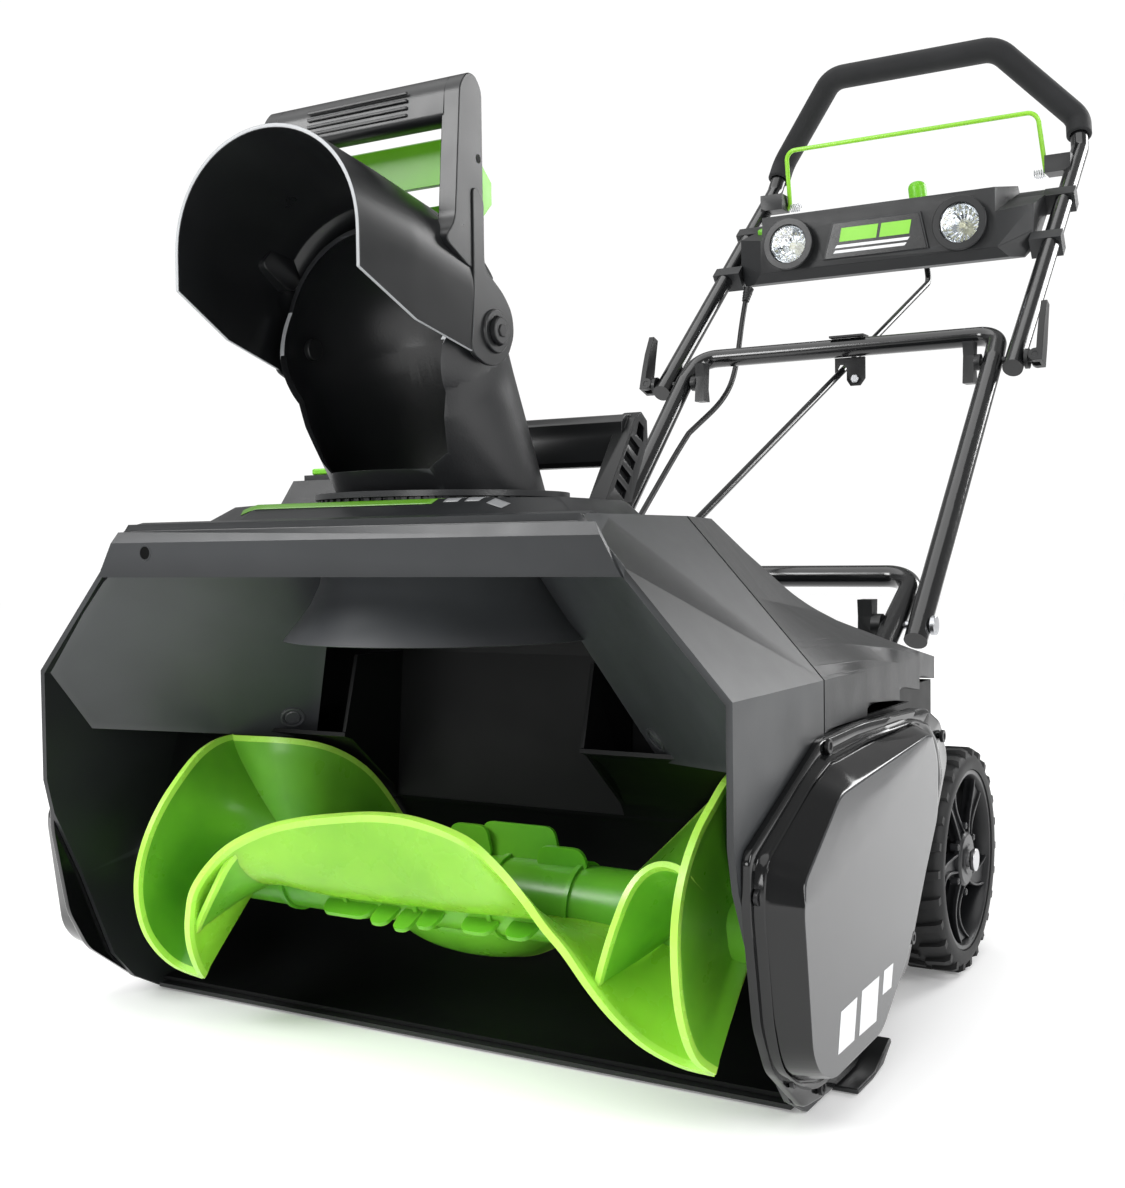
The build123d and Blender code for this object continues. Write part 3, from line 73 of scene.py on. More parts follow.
# ------------------------------------------------------------------ materials
def material(name, color, rough=0.5, metallic=0.0, spec=0.5, coat=0.0, coat_rough=0.1, grain=900.0, bump=0.15,
             vary=0.12, blotch=9.0, rough_vary=0.08, edge=0.0, edge_highlight_and_wear_color=(0.4, 0.4, 0.4), sss=0.0, sss_radius=(0.01, 0.02, 0.004),
             sss_scale=0.02, trans=0.0, ior=1.5, sheen=0.0, second=None, emit=0.0):
    m = bpy.data.materials.new(name)
    m.use_nodes = True
    nt = m.node_tree
    nt.nodes.clear()
    out = nt.nodes.new("ShaderNodeOutputMaterial")
    p = nt.nodes.new("ShaderNodeBsdfPrincipled")
    nt.links.new(p.outputs[0], out.inputs[0])
    p.inputs["Metallic"].default_value = metallic
    p.inputs["Specular IOR Level"].default_value = spec
    p.inputs["Coat Weight"].default_value = coat
    p.inputs["Coat Roughness"].default_value = coat_rough
    p.inputs["IOR"].default_value = ior
    p.inputs["Transmission Weight"].default_value = trans
    p.inputs["Sheen Weight"].default_value = sheen
    if sss:
        p.inputs["Subsurface Weight"].default_value = sss
        p.inputs["Subsurface Radius"].default_value = sss_radius
        p.inputs["Subsurface Scale"].default_value = sss_scale
    tc = nt.nodes.new("ShaderNodeTexCoord")
    n1 = nt.nodes.new("ShaderNodeTexNoise")
    n1.inputs["Scale"].default_value = blotch
    n1.inputs["Detail"].default_value = 6.0
    nt.links.new(tc.outputs["Object"], n1.inputs["Vector"])
    ramp = nt.nodes.new("ShaderNodeValToRGB")
    c = Vector(color[:3])
    d = Vector(second[:3]) if second else c * (1 + vary)
    ramp.color_ramp.elements[0].position = 0.32
    ramp.color_ramp.elements[1].position = 0.68
    ramp.color_ramp.elements[0].color = (*(c * (1 - vary)), 1)
    ramp.color_ramp.elements[1].color = (*d, 1)
    nt.links.new(n1.outputs["Fac"], ramp.inputs["Fac"])
    col = ramp.outputs["Color"]
    # painted highlight and edge wear: convex edges (high pointiness) are mixed towards the lighter edge colour
    if edge:
        geo = nt.nodes.new("ShaderNodeNewGeometry")
        er = nt.nodes.new("ShaderNodeValToRGB")
        er.color_ramp.elements[0].position = 0.52
        er.color_ramp.elements[1].position = 0.62
        er.color_ramp.elements[0].color = (0, 0, 0, 1)
        er.color_ramp.elements[1].color = (edge, edge, edge, 1)
        nt.links.new(geo.outputs["Pointiness"], er.inputs["Fac"])
        mx = nt.nodes.new("ShaderNodeMix")
        mx.data_type = "RGBA"
        nt.links.new(er.outputs["Color"], mx.inputs["Factor"])
        nt.links.new(col, mx.inputs[6])
        mx.inputs[7].default_value = (*edge_highlight_and_wear_color, 1)
        col = mx.outputs[2]
    nt.links.new(col, p.inputs["Base Color"])
    n2 = nt.nodes.new("ShaderNodeTexNoise")
    n2.inputs["Scale"].default_value = 38.0
    n2.inputs["Detail"].default_value = 8.0
    nt.links.new(tc.outputs["Object"], n2.inputs["Vector"])
    mr = nt.nodes.new("ShaderNodeMapRange")
    mr.inputs["To Min"].default_value = max(0.02, rough - rough_vary)
    mr.inputs["To Max"].default_value = min(1.0, rough + rough_vary)
    nt.links.new(n2.outputs["Fac"], mr.inputs["Value"])
    nt.links.new(mr.outputs["Result"], p.inputs["Roughness"])
    if bump:
        n3 = nt.nodes.new("ShaderNodeTexNoise")
        n3.inputs["Scale"].default_value = grain
        n3.inputs["Detail"].default_value = 3.0
        nt.links.new(tc.outputs["Object"], n3.inputs["Vector"])
        b = nt.nodes.new("ShaderNodeBump")
        b.inputs["Strength"].default_value = bump
        b.inputs["Distance"].default_value = 0.0004
        nt.links.new(n3.outputs["Fac"], b.inputs["Height"])
        nt.links.new(b.outputs["Normal"], p.inputs["Normal"])
    return m


M = {
    "shell": material("housing_plastic", (0.0115, 0.0124, 0.0134), 0.36, spec=0.38, grain=1100, bump=0.09, blotch=5, vary=0.2, edge=0.3, edge_highlight_and_wear_color=(0.075, 0.08, 0.085)),
    # darker copy of the housing plastic for the inside of the scoop: painted shade
    "inner": material("housing_inside_painted_shade", (0.0042, 0.0045, 0.0048), 0.46, spec=0.2, grain=1200, bump=0.05, blotch=4, vary=0.2),
    # lighter copy of the housing plastic for the funnel panels: painted reflection
    "funnel": material("funnel_plastic_painted_reflection", (0.040, 0.043, 0.046), 0.34, spec=0.5, grain=1200, bump=0.05, blotch=6, vary=0.24, edge=0.3, edge_highlight_and_wear_color=(0.1, 0.1, 0.105)),
    "gloss": material("gloss_black", (0.0045, 0.0048, 0.0052), 0.12, spec=0.5, coat=0.5, coat_rough=0.05, grain=40, bump=0.02, vary=0.1, rough_vary=0.04),
    "black": material("black_plastic", (0.0075, 0.008, 0.0085), 0.38, spec=0.42, grain=1300, bump=0.09, blotch=8, vary=0.18, edge=0.25, edge_highlight_and_wear_color=(0.05, 0.052, 0.055)),
    "satin": material("satin_black", (0.0065, 0.007, 0.0076), 0.31, spec=0.40, grain=900, bump=0.04, vary=0.14, edge=0.2, edge_highlight_and_wear_color=(0.05, 0.052, 0.055)),
    "grain": material("grained_plastic", (0.0095, 0.0102, 0.011), 0.44, spec=0.4, grain=750, bump=0.32, blotch=7, vary=0.18, edge=0.3, edge_highlight_and_wear_color=(0.06, 0.063, 0.067)),
    "chute": material("chute_plastic", (0.0095, 0.010, 0.011), 0.33, spec=0.48, grain=620, bump=0.22, blotch=6, vary=0.18, edge=0.4, edge_highlight_and_wear_color=(0.10, 0.105, 0.11)),
    "tube": material("powder_coat", (0.0045, 0.0048, 0.0052), 0.17, spec=0.5, coat=0.4, coat_rough=0.08, grain=1600, bump=0.10, vary=0.12),
    "steel": material("turned_steel", (0.50, 0.50, 0.51), 0.28, metallic=1.0, grain=1500, bump=0.1, vary=0.08),
    "zinc": material("zinc_plate", (0.50, 0.51, 0.53), 0.32, metallic=1.0, grain=600, bump=0.1, vary=0.15, blotch=60),
    "dark_metal": material("blackened_steel", (0.020, 0.020, 0.021), 0.35, metallic=0.6, grain=900, bump=0.12, vary=0.18),
    "aluminium": material("turned_aluminium", (0.60, 0.61, 0.63), 0.3, metallic=1.0, grain=1400, bump=0.1),
    "foam": material("closed_cell_foam", (0.0105, 0.011, 0.012), 0.70, spec=0.3, grain=520, bump=0.55, blotch=12, vary=0.18, sheen=0.08),
    "rubber": material("tyre_rubber", (0.0085, 0.0088, 0.0092), 0.58, spec=0.35, grain=700, bump=0.35, blotch=15, vary=0.22, edge=0.25, edge_highlight_and_wear_color=(0.035, 0.035, 0.035)),
    "rim": material("wheel_plastic", (0.0075, 0.008, 0.009), 0.33, spec=0.45, grain=1000, bump=0.1, vary=0.15, edge=0.35, edge_highlight_and_wear_color=(0.06, 0.06, 0.065)),
    "cable": material("cable_rubber", (0.007, 0.007, 0.0075), 0.42, spec=0.4, grain=900, bump=0.15),
    "auger": material("auger_green", (0.088, 0.355, 0.022), 0.30, spec=0.42, grain=300, bump=0.05, blotch=9, vary=0.22, second=(0.17, 0.50, 0.03), sss=0.3, sss_radius=(0.6, 1.0, 0.15), sss_scale=0.006),
    # brighter copy of the auger green for the front wave's faces: painted light
    "auger_face_painted_light": material("auger_face_painted_light_green", (0.23, 0.56, 0.030), 0.28, spec=0.45, grain=300, bump=0.05, blotch=9, vary=0.16, second=(0.30, 0.66, 0.045), sss=0.3, sss_radius=(0.6, 1.0, 0.15), sss_scale=0.006),
    # lighter green on the blades' rims: painted highlight
    "auger_rim_painted_highlight": material("auger_rim_painted_highlight_green", (0.40, 0.76, 0.09), 0.27, grain=300, bump=0.05, blotch=14, vary=0.12, sss=0.3, sss_radius=(0.7, 1.0, 0.2), sss_scale=0.006),
    "green": material("green_plastic", (0.15, 0.50, 0.016), 0.31, grain=900, bump=0.08, blotch=14, vary=0.12, edge=0.3, edge_highlight_and_wear_color=(0.42, 0.78, 0.16), sss=0.15, sss_radius=(0.6, 1.0, 0.2), sss_scale=0.004),
    "wire": material("green_wire", (0.26, 0.62, 0.025), 0.30, spec=0.5, grain=1500, bump=0.08, coat=0.3),
    # cover_edge and cover_face_painted_reflection are one gloss black: the face's lighter base colour is a painted
    # reflection, the edge keeps the dark black
    "cover_edge": material("cover_black", (0.0035, 0.0037, 0.0040), 0.13, spec=0.30, coat=0.25, coat_rough=0.06, grain=40, bump=0.02, vary=0.1, rough_vary=0.03),
    "cover_face_painted_reflection": material("cover_gloss_painted_reflection", (0.026, 0.0272, 0.029), 0.20, spec=0.5, coat=0.3, coat_rough=0.08, grain=60, bump=0.02, vary=0.10, blotch=3, rough_vary=0.03),
    "decal_dim": material("decal_dim_green", (0.085, 0.24, 0.014), 0.36, grain=900, bump=0.03, vary=0.08),
    "grey_mark": material("decal_grey", (0.20, 0.205, 0.21), 0.38, grain=900, bump=0.02, vary=0.05),
    # near-black disc standing in for a hole's shadowed inside: painted shade
    "hole": material("hole_black_painted_shade", (0.0012, 0.0012, 0.0013), 0.8, spec=0.1, grain=900, bump=0.0),
    "decal": material("decal_green", (0.20, 0.56, 0.02), 0.32, grain=900, bump=0.03, vary=0.06),
    "white": material("decal_white", (0.72, 0.73, 0.74), 0.35, grain=900, bump=0.02, vary=0.05),
    "badge": material("badge_plate", (0.006, 0.0065, 0.007), 0.25, grain=1200, bump=0.05, spec=0.5),
    "reflector": material("lamp_reflector", (0.86, 0.87, 0.88), 0.09, metallic=1.0, grain=120, bump=0.25, vary=0.05, rough_vary=0.04),
    # light grey on the black cut edges of the hood and chute tube: painted highlight
    "rim_edge_painted_highlight": material("painted_highlight_edge", (0.34, 0.35, 0.36), 0.36, grain=900, bump=0.08, vary=0.16),
    "board": material("circuit_board", (0.02, 0.12, 0.04), 0.4, grain=700, bump=0.1),
    "motor": material("motor_can", (0.05, 0.05, 0.055), 0.35, metallic=0.6, grain=900, bump=0.1),
    "belt": material("belt_rubber", (0.010, 0.010, 0.010), 0.6, grain=500, bump=0.3),
}
lens = material("lamp_lens", (0.93, 0.96, 0.98), 0.05, trans=1.0, ior=1.45, grain=90, bump=0.15, vary=0.02, rough_vary=0.02)
M["lens"] = lens
floor_mat = material("floor_white", (0.93, 0.93, 0.93), 0.7, spec=0.1, grain=20, bump=0.0, vary=0.01, blotch=1.0)
glow = next(n for n in floor_mat.node_tree.nodes if n.type == "BSDF_PRINCIPLED")
glow.inputs["Emission Color"].default_value = (1, 1, 1, 1)
glow.inputs["Emission Strength"].default_value = 0.16
led = material("lamp_chip", (0.9, 0.85, 0.6), 0.3, grain=100, bump=0.1)


# ------------------------------------------------------------------- helpers
def link(o):
    bpy.context.scene.collection.objects.link(o)
    return o


def finish_mesh(me, angle=35.0):
    me.shade_smooth()
    me.set_sharp_from_angle(angle=math.radians(angle))


def make(name, verts, faces, mats, body, replaces=(), angle=35.0, bevel=0.0, seg=2, sub=0, indices=None):
    me = bpy.data.meshes.new(name)
    me.from_pydata([tuple(v) for v in verts], [], faces)
    for m in (mats if isinstance(mats, (list, tuple)) else [mats]):
        me.materials.append(m)
    if indices:
        me.polygons.foreach_set("material_index", indices)
    bm = bmesh.new()
    bm.from_mesh(me)
    bmesh.ops.recalc_face_normals(bm, faces=bm.faces)
    bm.to_mesh(me)
    bm.free()
    finish_mesh(me, angle)
    o = link(bpy.data.objects.new(name, me))
    if bevel:
        b = o.modifiers.new("soft_edges", "BEVEL")
        b.width, b.segments, b.limit_method, b.angle_limit = bevel, seg, "ANGLE", math.radians(30)
    if sub:
        s = o.modifiers.new("smooth", "SUBSURF")
        s.levels = s.render_levels = sub
    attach(o, body)
    if replaces:
        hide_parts(*replaces)
    return o


def refined(node, mat, bevel=0.0008, seg=2, angle=32.0, name=None, edge_angle=38.0, dissolve=0.6, harden=False):
    """A finer skin over a CAD node: the same shape with rounded edges and smooth shading."""
    src = NODES[node]
    me = src.data.copy()
    me.name = name or node + "_skin"
    me.materials.clear()
    me.materials.append(mat)
    bm = bmesh.new()
    bm.from_mesh(me)
    bmesh.ops.remove_doubles(bm, verts=bm.verts, dist=4e-6)
    if dissolve:
        bmesh.ops.dissolve_limit(bm, angle_limit=math.radians(dissolve), verts=bm.verts, edges=bm.edges)
    bmesh.ops.recalc_face_normals(bm, faces=bm.faces)
    for f in bm.faces:
        f.material_index = 0
        f.smooth = True
    bm.to_mesh(me)
    bm.free()
    me.set_sharp_from_angle(angle=math.radians(angle))
    o = link(bpy.data.objects.new(name or node + "_skin", me))
    if bevel:
        b = o.modifiers.new("soft_edges", "BEVEL")
        b.width, b.segments, b.limit_method, b.angle_limit = bevel, seg, "ANGLE", math.radians(edge_angle)
        b.harden_normals = harden
        b.use_clamp_overlap = True
        b.miter_outer = "MITER_ARC"
    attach(o, BODY[node])
    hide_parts(node)
    return o


def tube_mesh(points, radius, sides=20, closed=False):
    """Vertices and faces of a round bar along points."""
    n = len(points)
    verts, faces = [], []
    t0 = (points[1] - points[0]).normalized()
    ref = Vector((0, 0, 1)) if abs(t0.z) < 0.9 else Vector((1, 0, 0))
    u = t0.cross(ref).normalized()
    for i, p in enumerate(points):
        t = (points[min(i + 1, n - 1)] - points[max(i - 1, 0)]).normalized()
        u = (u - t * u.dot(t)).normalized()
        w = t.cross(u)
        r = radius[i] if isinstance(radius, (list, tuple)) else radius
        for k in range(sides):
            a = 2 * math.pi * k / sides
            verts.append(p + (u * math.cos(a) + w * math.sin(a)) * r)
    for i in range(n - 1):
        for k in range(sides):
            a, b = i * sides + k, i * sides + (k + 1) % sides
            faces.append((a, b, b + sides, a + sides))
    if not closed:
        faces.append(tuple(range(sides - 1, -1, -1)))
        faces.append(tuple((n - 1) * sides + k for k in range(sides)))
    return verts, faces


def revolve_mesh(profile, centre, axis, n=64, closed=True):
    """profile: (distance along axis, radius) pairs, a closed loop when closed."""
    ax = Vector(axis).normalized()
    ref = Vector((0, 0, 1)) if abs(ax.z) < 0.9 else Vector((0, 1, 0))
    u = ax.cross(ref).normalized()
    w = ax.cross(u)
    verts, faces = [], []
    m = len(profile)
    for k in range(n):
        a = 2 * math.pi * k / n
        d = u * math.cos(a) + w * math.sin(a)
        for s, r in profile:
            verts.append(Vector(centre) + ax * s + d * r)
    for k in range(n):
        for j in range(m if closed else m - 1):
            a, b = k * m + j, k * m + (j + 1) % m
            c, d = ((k + 1) % n) * m + (j + 1) % m, ((k + 1) % n) * m + j
            faces.append((a, b, c, d))
    return verts, faces


def merge(parts):
    """Joins (verts, faces, material index) lists."""
    V, F, I = [], [], []
    for v, f, i in parts:
        o = len(V)
        V += list(v)
        F += [tuple(a + o for a in q) for q in f]
        I += [i] * len(f) if isinstance(i, int) else list(i)
    return V, F, I


def prism(pts, a, b, to3):
    """Prism of a polygon between depths a and b; to3(u, v, depth) gives the point."""
    n = len(pts)
    v = [to3(p[0], p[1], a) for p in pts] + [to3(p[0], p[1], b) for p in pts]
    f = [tuple(range(n - 1, -1, -1)), tuple(range(n, 2 * n))]
    f += [(i, (i + 1) % n, n + (i + 1) % n, n + i) for i in range(n)]
    return v, f


def in_x(y, z, x):
    return D(x, y, z)


def in_y(x, z, y):
    return D(x, y, z)


def in_z(x, y, z):
    return D(x, y, z)


def rounded(pts, r, n=5):
    """Rounds the corners of a polygon."""
    out = []
    m = len(pts)
    for i in range(m):
        p = Vector(pts[i] + (0,)) if len(pts[i]) == 2 else Vector(pts[i])
        a = Vector((*pts[i - 1][:2], 0))
        b = Vector((*pts[(i + 1) % m][:2], 0))
        p = Vector((*pts[i][:2], 0))
        da, db = (a - p), (b - p)
        ra = min(r, da.length * 0.45, db.length * 0.45)
        p0, p1 = p + da.normalized() * ra, p + db.normalized() * ra
        for k in range(n + 1):
            t = k / n
            q = p0 * (1 - t) ** 2 + p * 2 * t * (1 - t) + p1 * t ** 2
            out.append((q.x, q.y))
    return out


def thick_grid(grid, thick, rim_rows=0):
    """Closed sheet from a grid of points; thick(i, j) is its thickness. Faces near the last column get index 1."""
    n, m = len(grid), len(grid[0])
    nor = []
    for i in range(n):
        row = []
        for j in range(m):
            du = grid[min(i + 1, n - 1)][j] - grid[max(i - 1, 0)][j]
            dv = grid[i][min(j + 1, m - 1)] - grid[i][max(j - 1, 0)]
            row.append(du.cross(dv).normalized())
        nor.append(row)
    V, F, I = [], [], []
    for s in (0.5, -0.5):
        for i in range(n):
            for j in range(m):
                V.append(grid[i][j] + nor[i][j] * thick(i, j) * s)
    N = n * m
    for i in range(n - 1):
        for j in range(m - 1):
            a, b, c, d = i * m + j, i * m + j + 1, (i + 1) * m + j + 1, (i + 1) * m + j
            k = 1 if j >= m - 1 - rim_rows else 0
            F += [(a, b, c, d), (d + N, c + N, b + N, a + N)]
            I += [k, k]
    for i in range(n - 1):
        for j, k in ((0, 0), (m - 1, 1 if rim_rows else 0)):
            a, d = i * m + j, (i + 1) * m + j
            F.append((a, d, d + N, a + N))
            I.append(k)
    for j in range(m - 1):
        for i in (0, n - 1):
            a, b = i * m + j, i * m + j + 1
            F.append((a, b, b + N, a + N))
            I.append(1 if (j >= m - 1 - rim_rows or rim_rows) else 0)
    return V, F, I


def patch(name, corners, direction, target, mat, body, offset=0.0003, nu=14, nv=8, keep=None):
    """A thin decal laid on a surface: rays from a quad along a direction."""
    dg = bpy.context.evaluated_depsgraph_get()
    e = target.evaluated_get(dg)
    me = e.to_mesh()
    tree = BVHTree.FromPolygons([target.matrix_world @ v.co for v in me.vertices], [tuple(p.vertices) for p in me.polygons])
    e.to_mesh_clear()
    d = Vector(direction).normalized()
    A, B, C, E = [Vector(c) for c in corners]
    V, hit = [], {}
    for i in range(nu + 1):
        for j in range(nv + 1):
            u, v = i / nu, j / nv
            q = (A * (1 - u) + B * u) * (1 - v) + (E * (1 - u) + C * u) * v
            loc, nrm, _, _ = tree.ray_cast(q, d, 0.5)
            if loc is None:
                continue
            hit[(i, j)] = len(V)
            V.append(loc - d * offset)
    F = []
    for i in range(nu):
        for j in range(nv):
            k = [(i, j), (i + 1, j), (i + 1, j + 1), (i, j + 1)]
            if all(q in hit for q in k):
                F.append(tuple(hit[q] for q in k))
    if not F:
        print("no decal", name)
        return None
    o = make(name, V, F, mat, body, angle=60)
    s = o.modifiers.new("film", "SOLIDIFY")
    s.thickness = 0.00015
    s.offset = 1.0
    return o


# --------------------------------------------------------------------- auger
AX = (107.0, 107.0)
CORE, TIP = 27.0, 94.6


def polar(x, ang, r):
    """Point of the auger: ang in degrees from straight up, turning towards the front."""
    a = math.radians(ang)
    return D(x, AX[0] - r * math.sin(a), AX[1] + r * math.cos(a))


parts = []
RR = [CORE - 4 + (TIP - CORE + 4) * k / 15.0 for k in range(14)] + [TIP - 4.5, TIP - 2.2, TIP]
rows = len(RR)


def rim_thick(base, rimt):
    return lambda i, j: (rimt if j >= rows - 3 else base) / 1000.0


def through(table, per=8):
    """Smooth line through rows of numbers."""
    out = []
    n = len(table)
    for i in range(n - 1):
        p0, p1, p2, p3 = table[max(i - 1, 0)], table[i], table[i + 1], table[min(i + 2, n - 1)]
        for k in range(per):
            t = k / per
            out.append(tuple(0.5 * ((2 * b) + (c - a) * t + (2 * a - 5 * b + 4 * c - d) * t * t + (3 * b - a - 3 * c + d) * t ** 3)
                             for a, b, c, d in zip(p0, p1, p2, p3)))
    out.append(tuple(table[-1]))
    return out


def sheet_of(table, turn, tip, base, rimt, per=8):
    """Blade from rim points (x, angle, inner x shift, inner angle shift): straight or bowed down to the core."""
    grid = []
    rr = [CORE - 4 + (tip - CORE + 4) * k / 15.0 for k in range(14)] + [tip - 4.5, tip - 2.2, tip]
    for x, ang, dx, da in through(table, per):
        row = []
        for r in rr:
            w = max(0.0, (r - CORE) / (tip - CORE))
            row.append(polar(x + dx * (1 - w) ** 1.3, ang + turn + da * (1 - w) ** 1.25, r))
        grid.append(row)
    return thick_grid(grid, rim_thick(base, rimt), 2)


# the wave across the front: rim X, rim angle, then how far the inner edge is shifted
WAVE = [(-160, 137, 4, 0), (-155, 126, 4, 0), (-150, 113, 6, 0), (-144, 100, 8, 4), (-136, 87, 10, 10), (-114, 71, 12, 26), (-88, 61, 8, 42),
        (-64, 55.5, 4, 50), (-34, 51.5, 2, 54), (2, 48.4, 0, 56), (35, 49, -2, 55), (75, 54.6, -6, 46), (104, 64, -8, 34), (127, 74.4, -8, 22),
        (142, 83, -8, 14), (158, 92, -6, 8), (173, 104.5, -4, 4), (186, 116, -2, 0), (201, 128, 0, 0), (219, 136.4, 2, 0), (237, 138, 2, 0)]
RIGHT = [(237, 138, 2, 0), (230, 130, 0, 0), (228.5, 114, 0, 0), (228, 93, 0, 0), (227, 76, 0, 0), (227, 60, 0, 0), (228, 43, 0, 0),
         (229, 27, 0, 0), (226, 10, -8, 0), (221, -4, -20, 0)]
LEFT = [(-160, 137, 4, 0), (-180, 131, 2, 0), (-190, 116, 0, 0), (-192, 100, 0, 0), (-191, 86, 0, 0), (-188, 72, 0, 0), (-184, 53, 4, 0),
        (-183, 38, 12, 0), (-187, 20, 30, 0), (-193, -3, 52, 0)]
BACK = [(-193, -3, 52, 0), (-160, -8, 30, 0), (-134, -20, 16, -6), (-116, -42, 8, -14), (-100, -70, 4, -20), (-70, -104, 2, -30), (-30, -128, 0, -40),
        (30, -130, 0, -40), (72, -112, -2, -30), (108, -90, -4, -20), (150, -66, -6, -12), (188, -42, -8, -6), (212, -20, -14, 0), (221, -4, -20, 0)]
CREST = [(173, 104, 12, 6), (180, 91, 12, 6), (186, 78.5, 14, 6), (192, 66, 14, 8), (199, 58.5, 12, 8), (208, 55, 8, 8), (219, 55.5, 2, 6), (228, 59, 0, 4)]
# the wave (face 2) takes the brighter auger green on its faces: painted light
for table, turn, tip, base, rimt, face in ((WAVE, 0, TIP, 3.0, 4.8, 2), (RIGHT, 0, TIP, 3.0, 4.6, 0), (LEFT, 0, TIP, 3.0, 4.6, 0),
                                           (BACK, 0, TIP, 3.0, 4.4, 0), (CREST, 0, 88.0, 2.8, 3.8, 0)):
    v, f_, i_ = sheet_of(table, turn, tip, base, rimt)
    parts.append((v, f_, [face if q == 0 else 1 for q in i_] if face else i_))
# second edge inside the left end of the wave
INNER = [(-150, 112, 6, 0), (-136, 99, 8, 4), (-125, 88, 8, 8), (-112, 73, 8, 20), (-94, 61, 6, 34), (-70, 56.5, 4, 44)]
v, f_, i_ = sheet_of(INNER, 0, 88.0, 2.6, 3.4)
parts.append((v, f_, i_))
# core with end collars
cv, cf = revolve_mesh([(-0.246, 0.0082), (-0.246, 0.022), (-0.243, 0.025), (-0.12, 0.0266), (0.12, 0.0266), (0.243, 0.025), (0.246, 0.022),
                       (0.246, 0.0082)], D(0, *AX), (1, 0, 0), 56)
parts.append((cv, cf, 0))
for xx in (-0.118, -0.06, 0.0, 0.06, 0.118):
    v, f = revolve_mesh([(-0.0016, 0.0262), (-0.0016, 0.0288), (0.0016, 0.0288), (0.0016, 0.0262)], D(xx * 1000, *AX), (1, 0, 0), 56)
    parts.append((v, f, 0))
# small rounded tabs on the core
for xx, aa, w, h in ((-55, 118, 23, 13), (-22, 116, 9, 18), (-3, 118, 8, 19), (16, 114, 8, 17), (54, 116, 14, 13), (88, 112, 11, 16),
                     (30, 4, 18, 20), (66, -4, 34, 22), (104, 10, 20, 12), (-92, 20, 18, 12)):
    for turn in (0,):
        a = math.radians(aa + turn)
        dy, dz = -math.sin(a), math.cos(a)
        outline = rounded([(-w, CORE - 3), (w, CORE - 3), (w * 0.8, CORE + h), (-w * 0.8, CORE + h)], 7)

        def to(u, v, t, xx=xx, dy=dy, dz=dz):
            return D(xx + u, AX[0] + dy * v + dz * t, AX[1] + dz * v - dy * t)
        v, f = prism(outline, -1.4, 1.4, to)
        parts.append((v, f, 0))
V, F, I = merge(parts)
# material 1 (the rims) is a painted highlight, material 2 (the wave's faces) painted light
auger = make("auger_blades", V, F, [M["auger"], M["auger_rim_painted_highlight"], M["auger_face_painted_light"]], "auger", ["auger_rotor"], angle=40, indices=I)

# ------------------------------------------------------------------- housing
for node, mat, bev in (("auger_housing", "shell", 0.0011), ("rear_shell", "grain", 0), ("base_pan", "inner", 0.0015),
                       ("trough_liner", "inner", 0.0006), ("scraper_bar", "black", 0.0006),
                       ("skid_feet", "black", 0.001),
                       ("chute_base", "shell", 0.0010), ("carry_handle", "satin", 0.0016), ("chute_drive_box", "black", 0.0025),
                       ("battery_door", "grain", 0.0009), ("door_latch", "green", 0.0012), ("battery_pack", "black", 0.002),
                       ("motor_case", "motor", 0.001), ("controller_board", "board", 0.0004),
                       ("chute_tube", "chute", 0.0007), ("release_lever", "green", 0.0010), ("crank_knob", "green", 0.0006),
                       ("panel_front", "grain", 0.0018), ("panel_back", "grain", 0.0014), ("lamp_bezels", "satin", 0.0009),
                       ("switch_box", "black", 0.0006), ("start_button", "green", 0.0005), ("bail_mounts", "black", 0.0025),
                       ("cam_lever_right", "black", 0.0014), ("cam_lever_left", "black", 0.0014), ("wing_knob_right", "black", 0.0014),
                       ("wing_knob_left", "black", 0.0014), ("clamp_knobs", "black", 0.0012), ("rod_bracket", "dark_metal", 0.0003),
                       ("lower_frame", "tube", 0), ("middle_handle", "tube", 0), ("upper_handle", "tube", 0), ("foam_grip", "foam", 0.003),
                       ("bail", "wire", 0), ("crank_rod", "tube", 0), ("axle", "steel", 0.0006), ("frame_bolts", "zinc", 0.0006),
                       ("pivot_bolts", "black", 0.0006), ("auger_shaft", "steel", 0.0006), ("auger_bearings", "steel", 0.0005),
                       ("housing_screws", "dark_metal", 0.0004), ("motor_pulley", "aluminium", 0.0004), ("idler_pulley", "aluminium", 0.0004),
                       ("auger_pulley", "black", 0.0006), ("drive_belt", "belt", 0.0004), ("chute_gear", "black", 0.0003)):
    flat = node in ("rear_shell", "auger_housing", "chute_base", "panel_front", "panel_back", "carry_handle")
    refined(node, M[mat], bev, 3 if bev > 0.0012 else 2, angle=4.0 if node == "rear_shell" else 32.0,
            edge_angle=24.0 if node == "rear_shell" else 38.0, dissolve=0.0 if node == "rear_shell" else 0.6, harden=flat)


# the panel's roof falls away towards the lamps
ROOF = ((1060.0, 777.0), (1070.0, 777.0), (1081.0, 787.0), (1150.0, 797.0), (1189.8, 799.5), (1215.0, 799.5))
for nm in ("panel_front_skin", "panel_back_skin"):
    for v in bpy.data.objects[nm].data.vertices:
        y, z = v.co.y * 1000 + YM, v.co.z * 1000
        if abs(v.co.x) > 0.1505 or z < 750:
            continue
        roof = ROOF[-1][1]
        for (y0, z0), (y1, z1) in zip(ROOF, ROOF[1:]):
            if y0 <= y <= y1:
                roof = z0 + (z1 - z0) * (y - y0) / (y1 - y0)
        top = 769.0 + 0.215 * (y - 1075.0) - (3.0 if z < roof - 1.5 else 0.0)
        if z > top:
            v.co.z = top / 1000

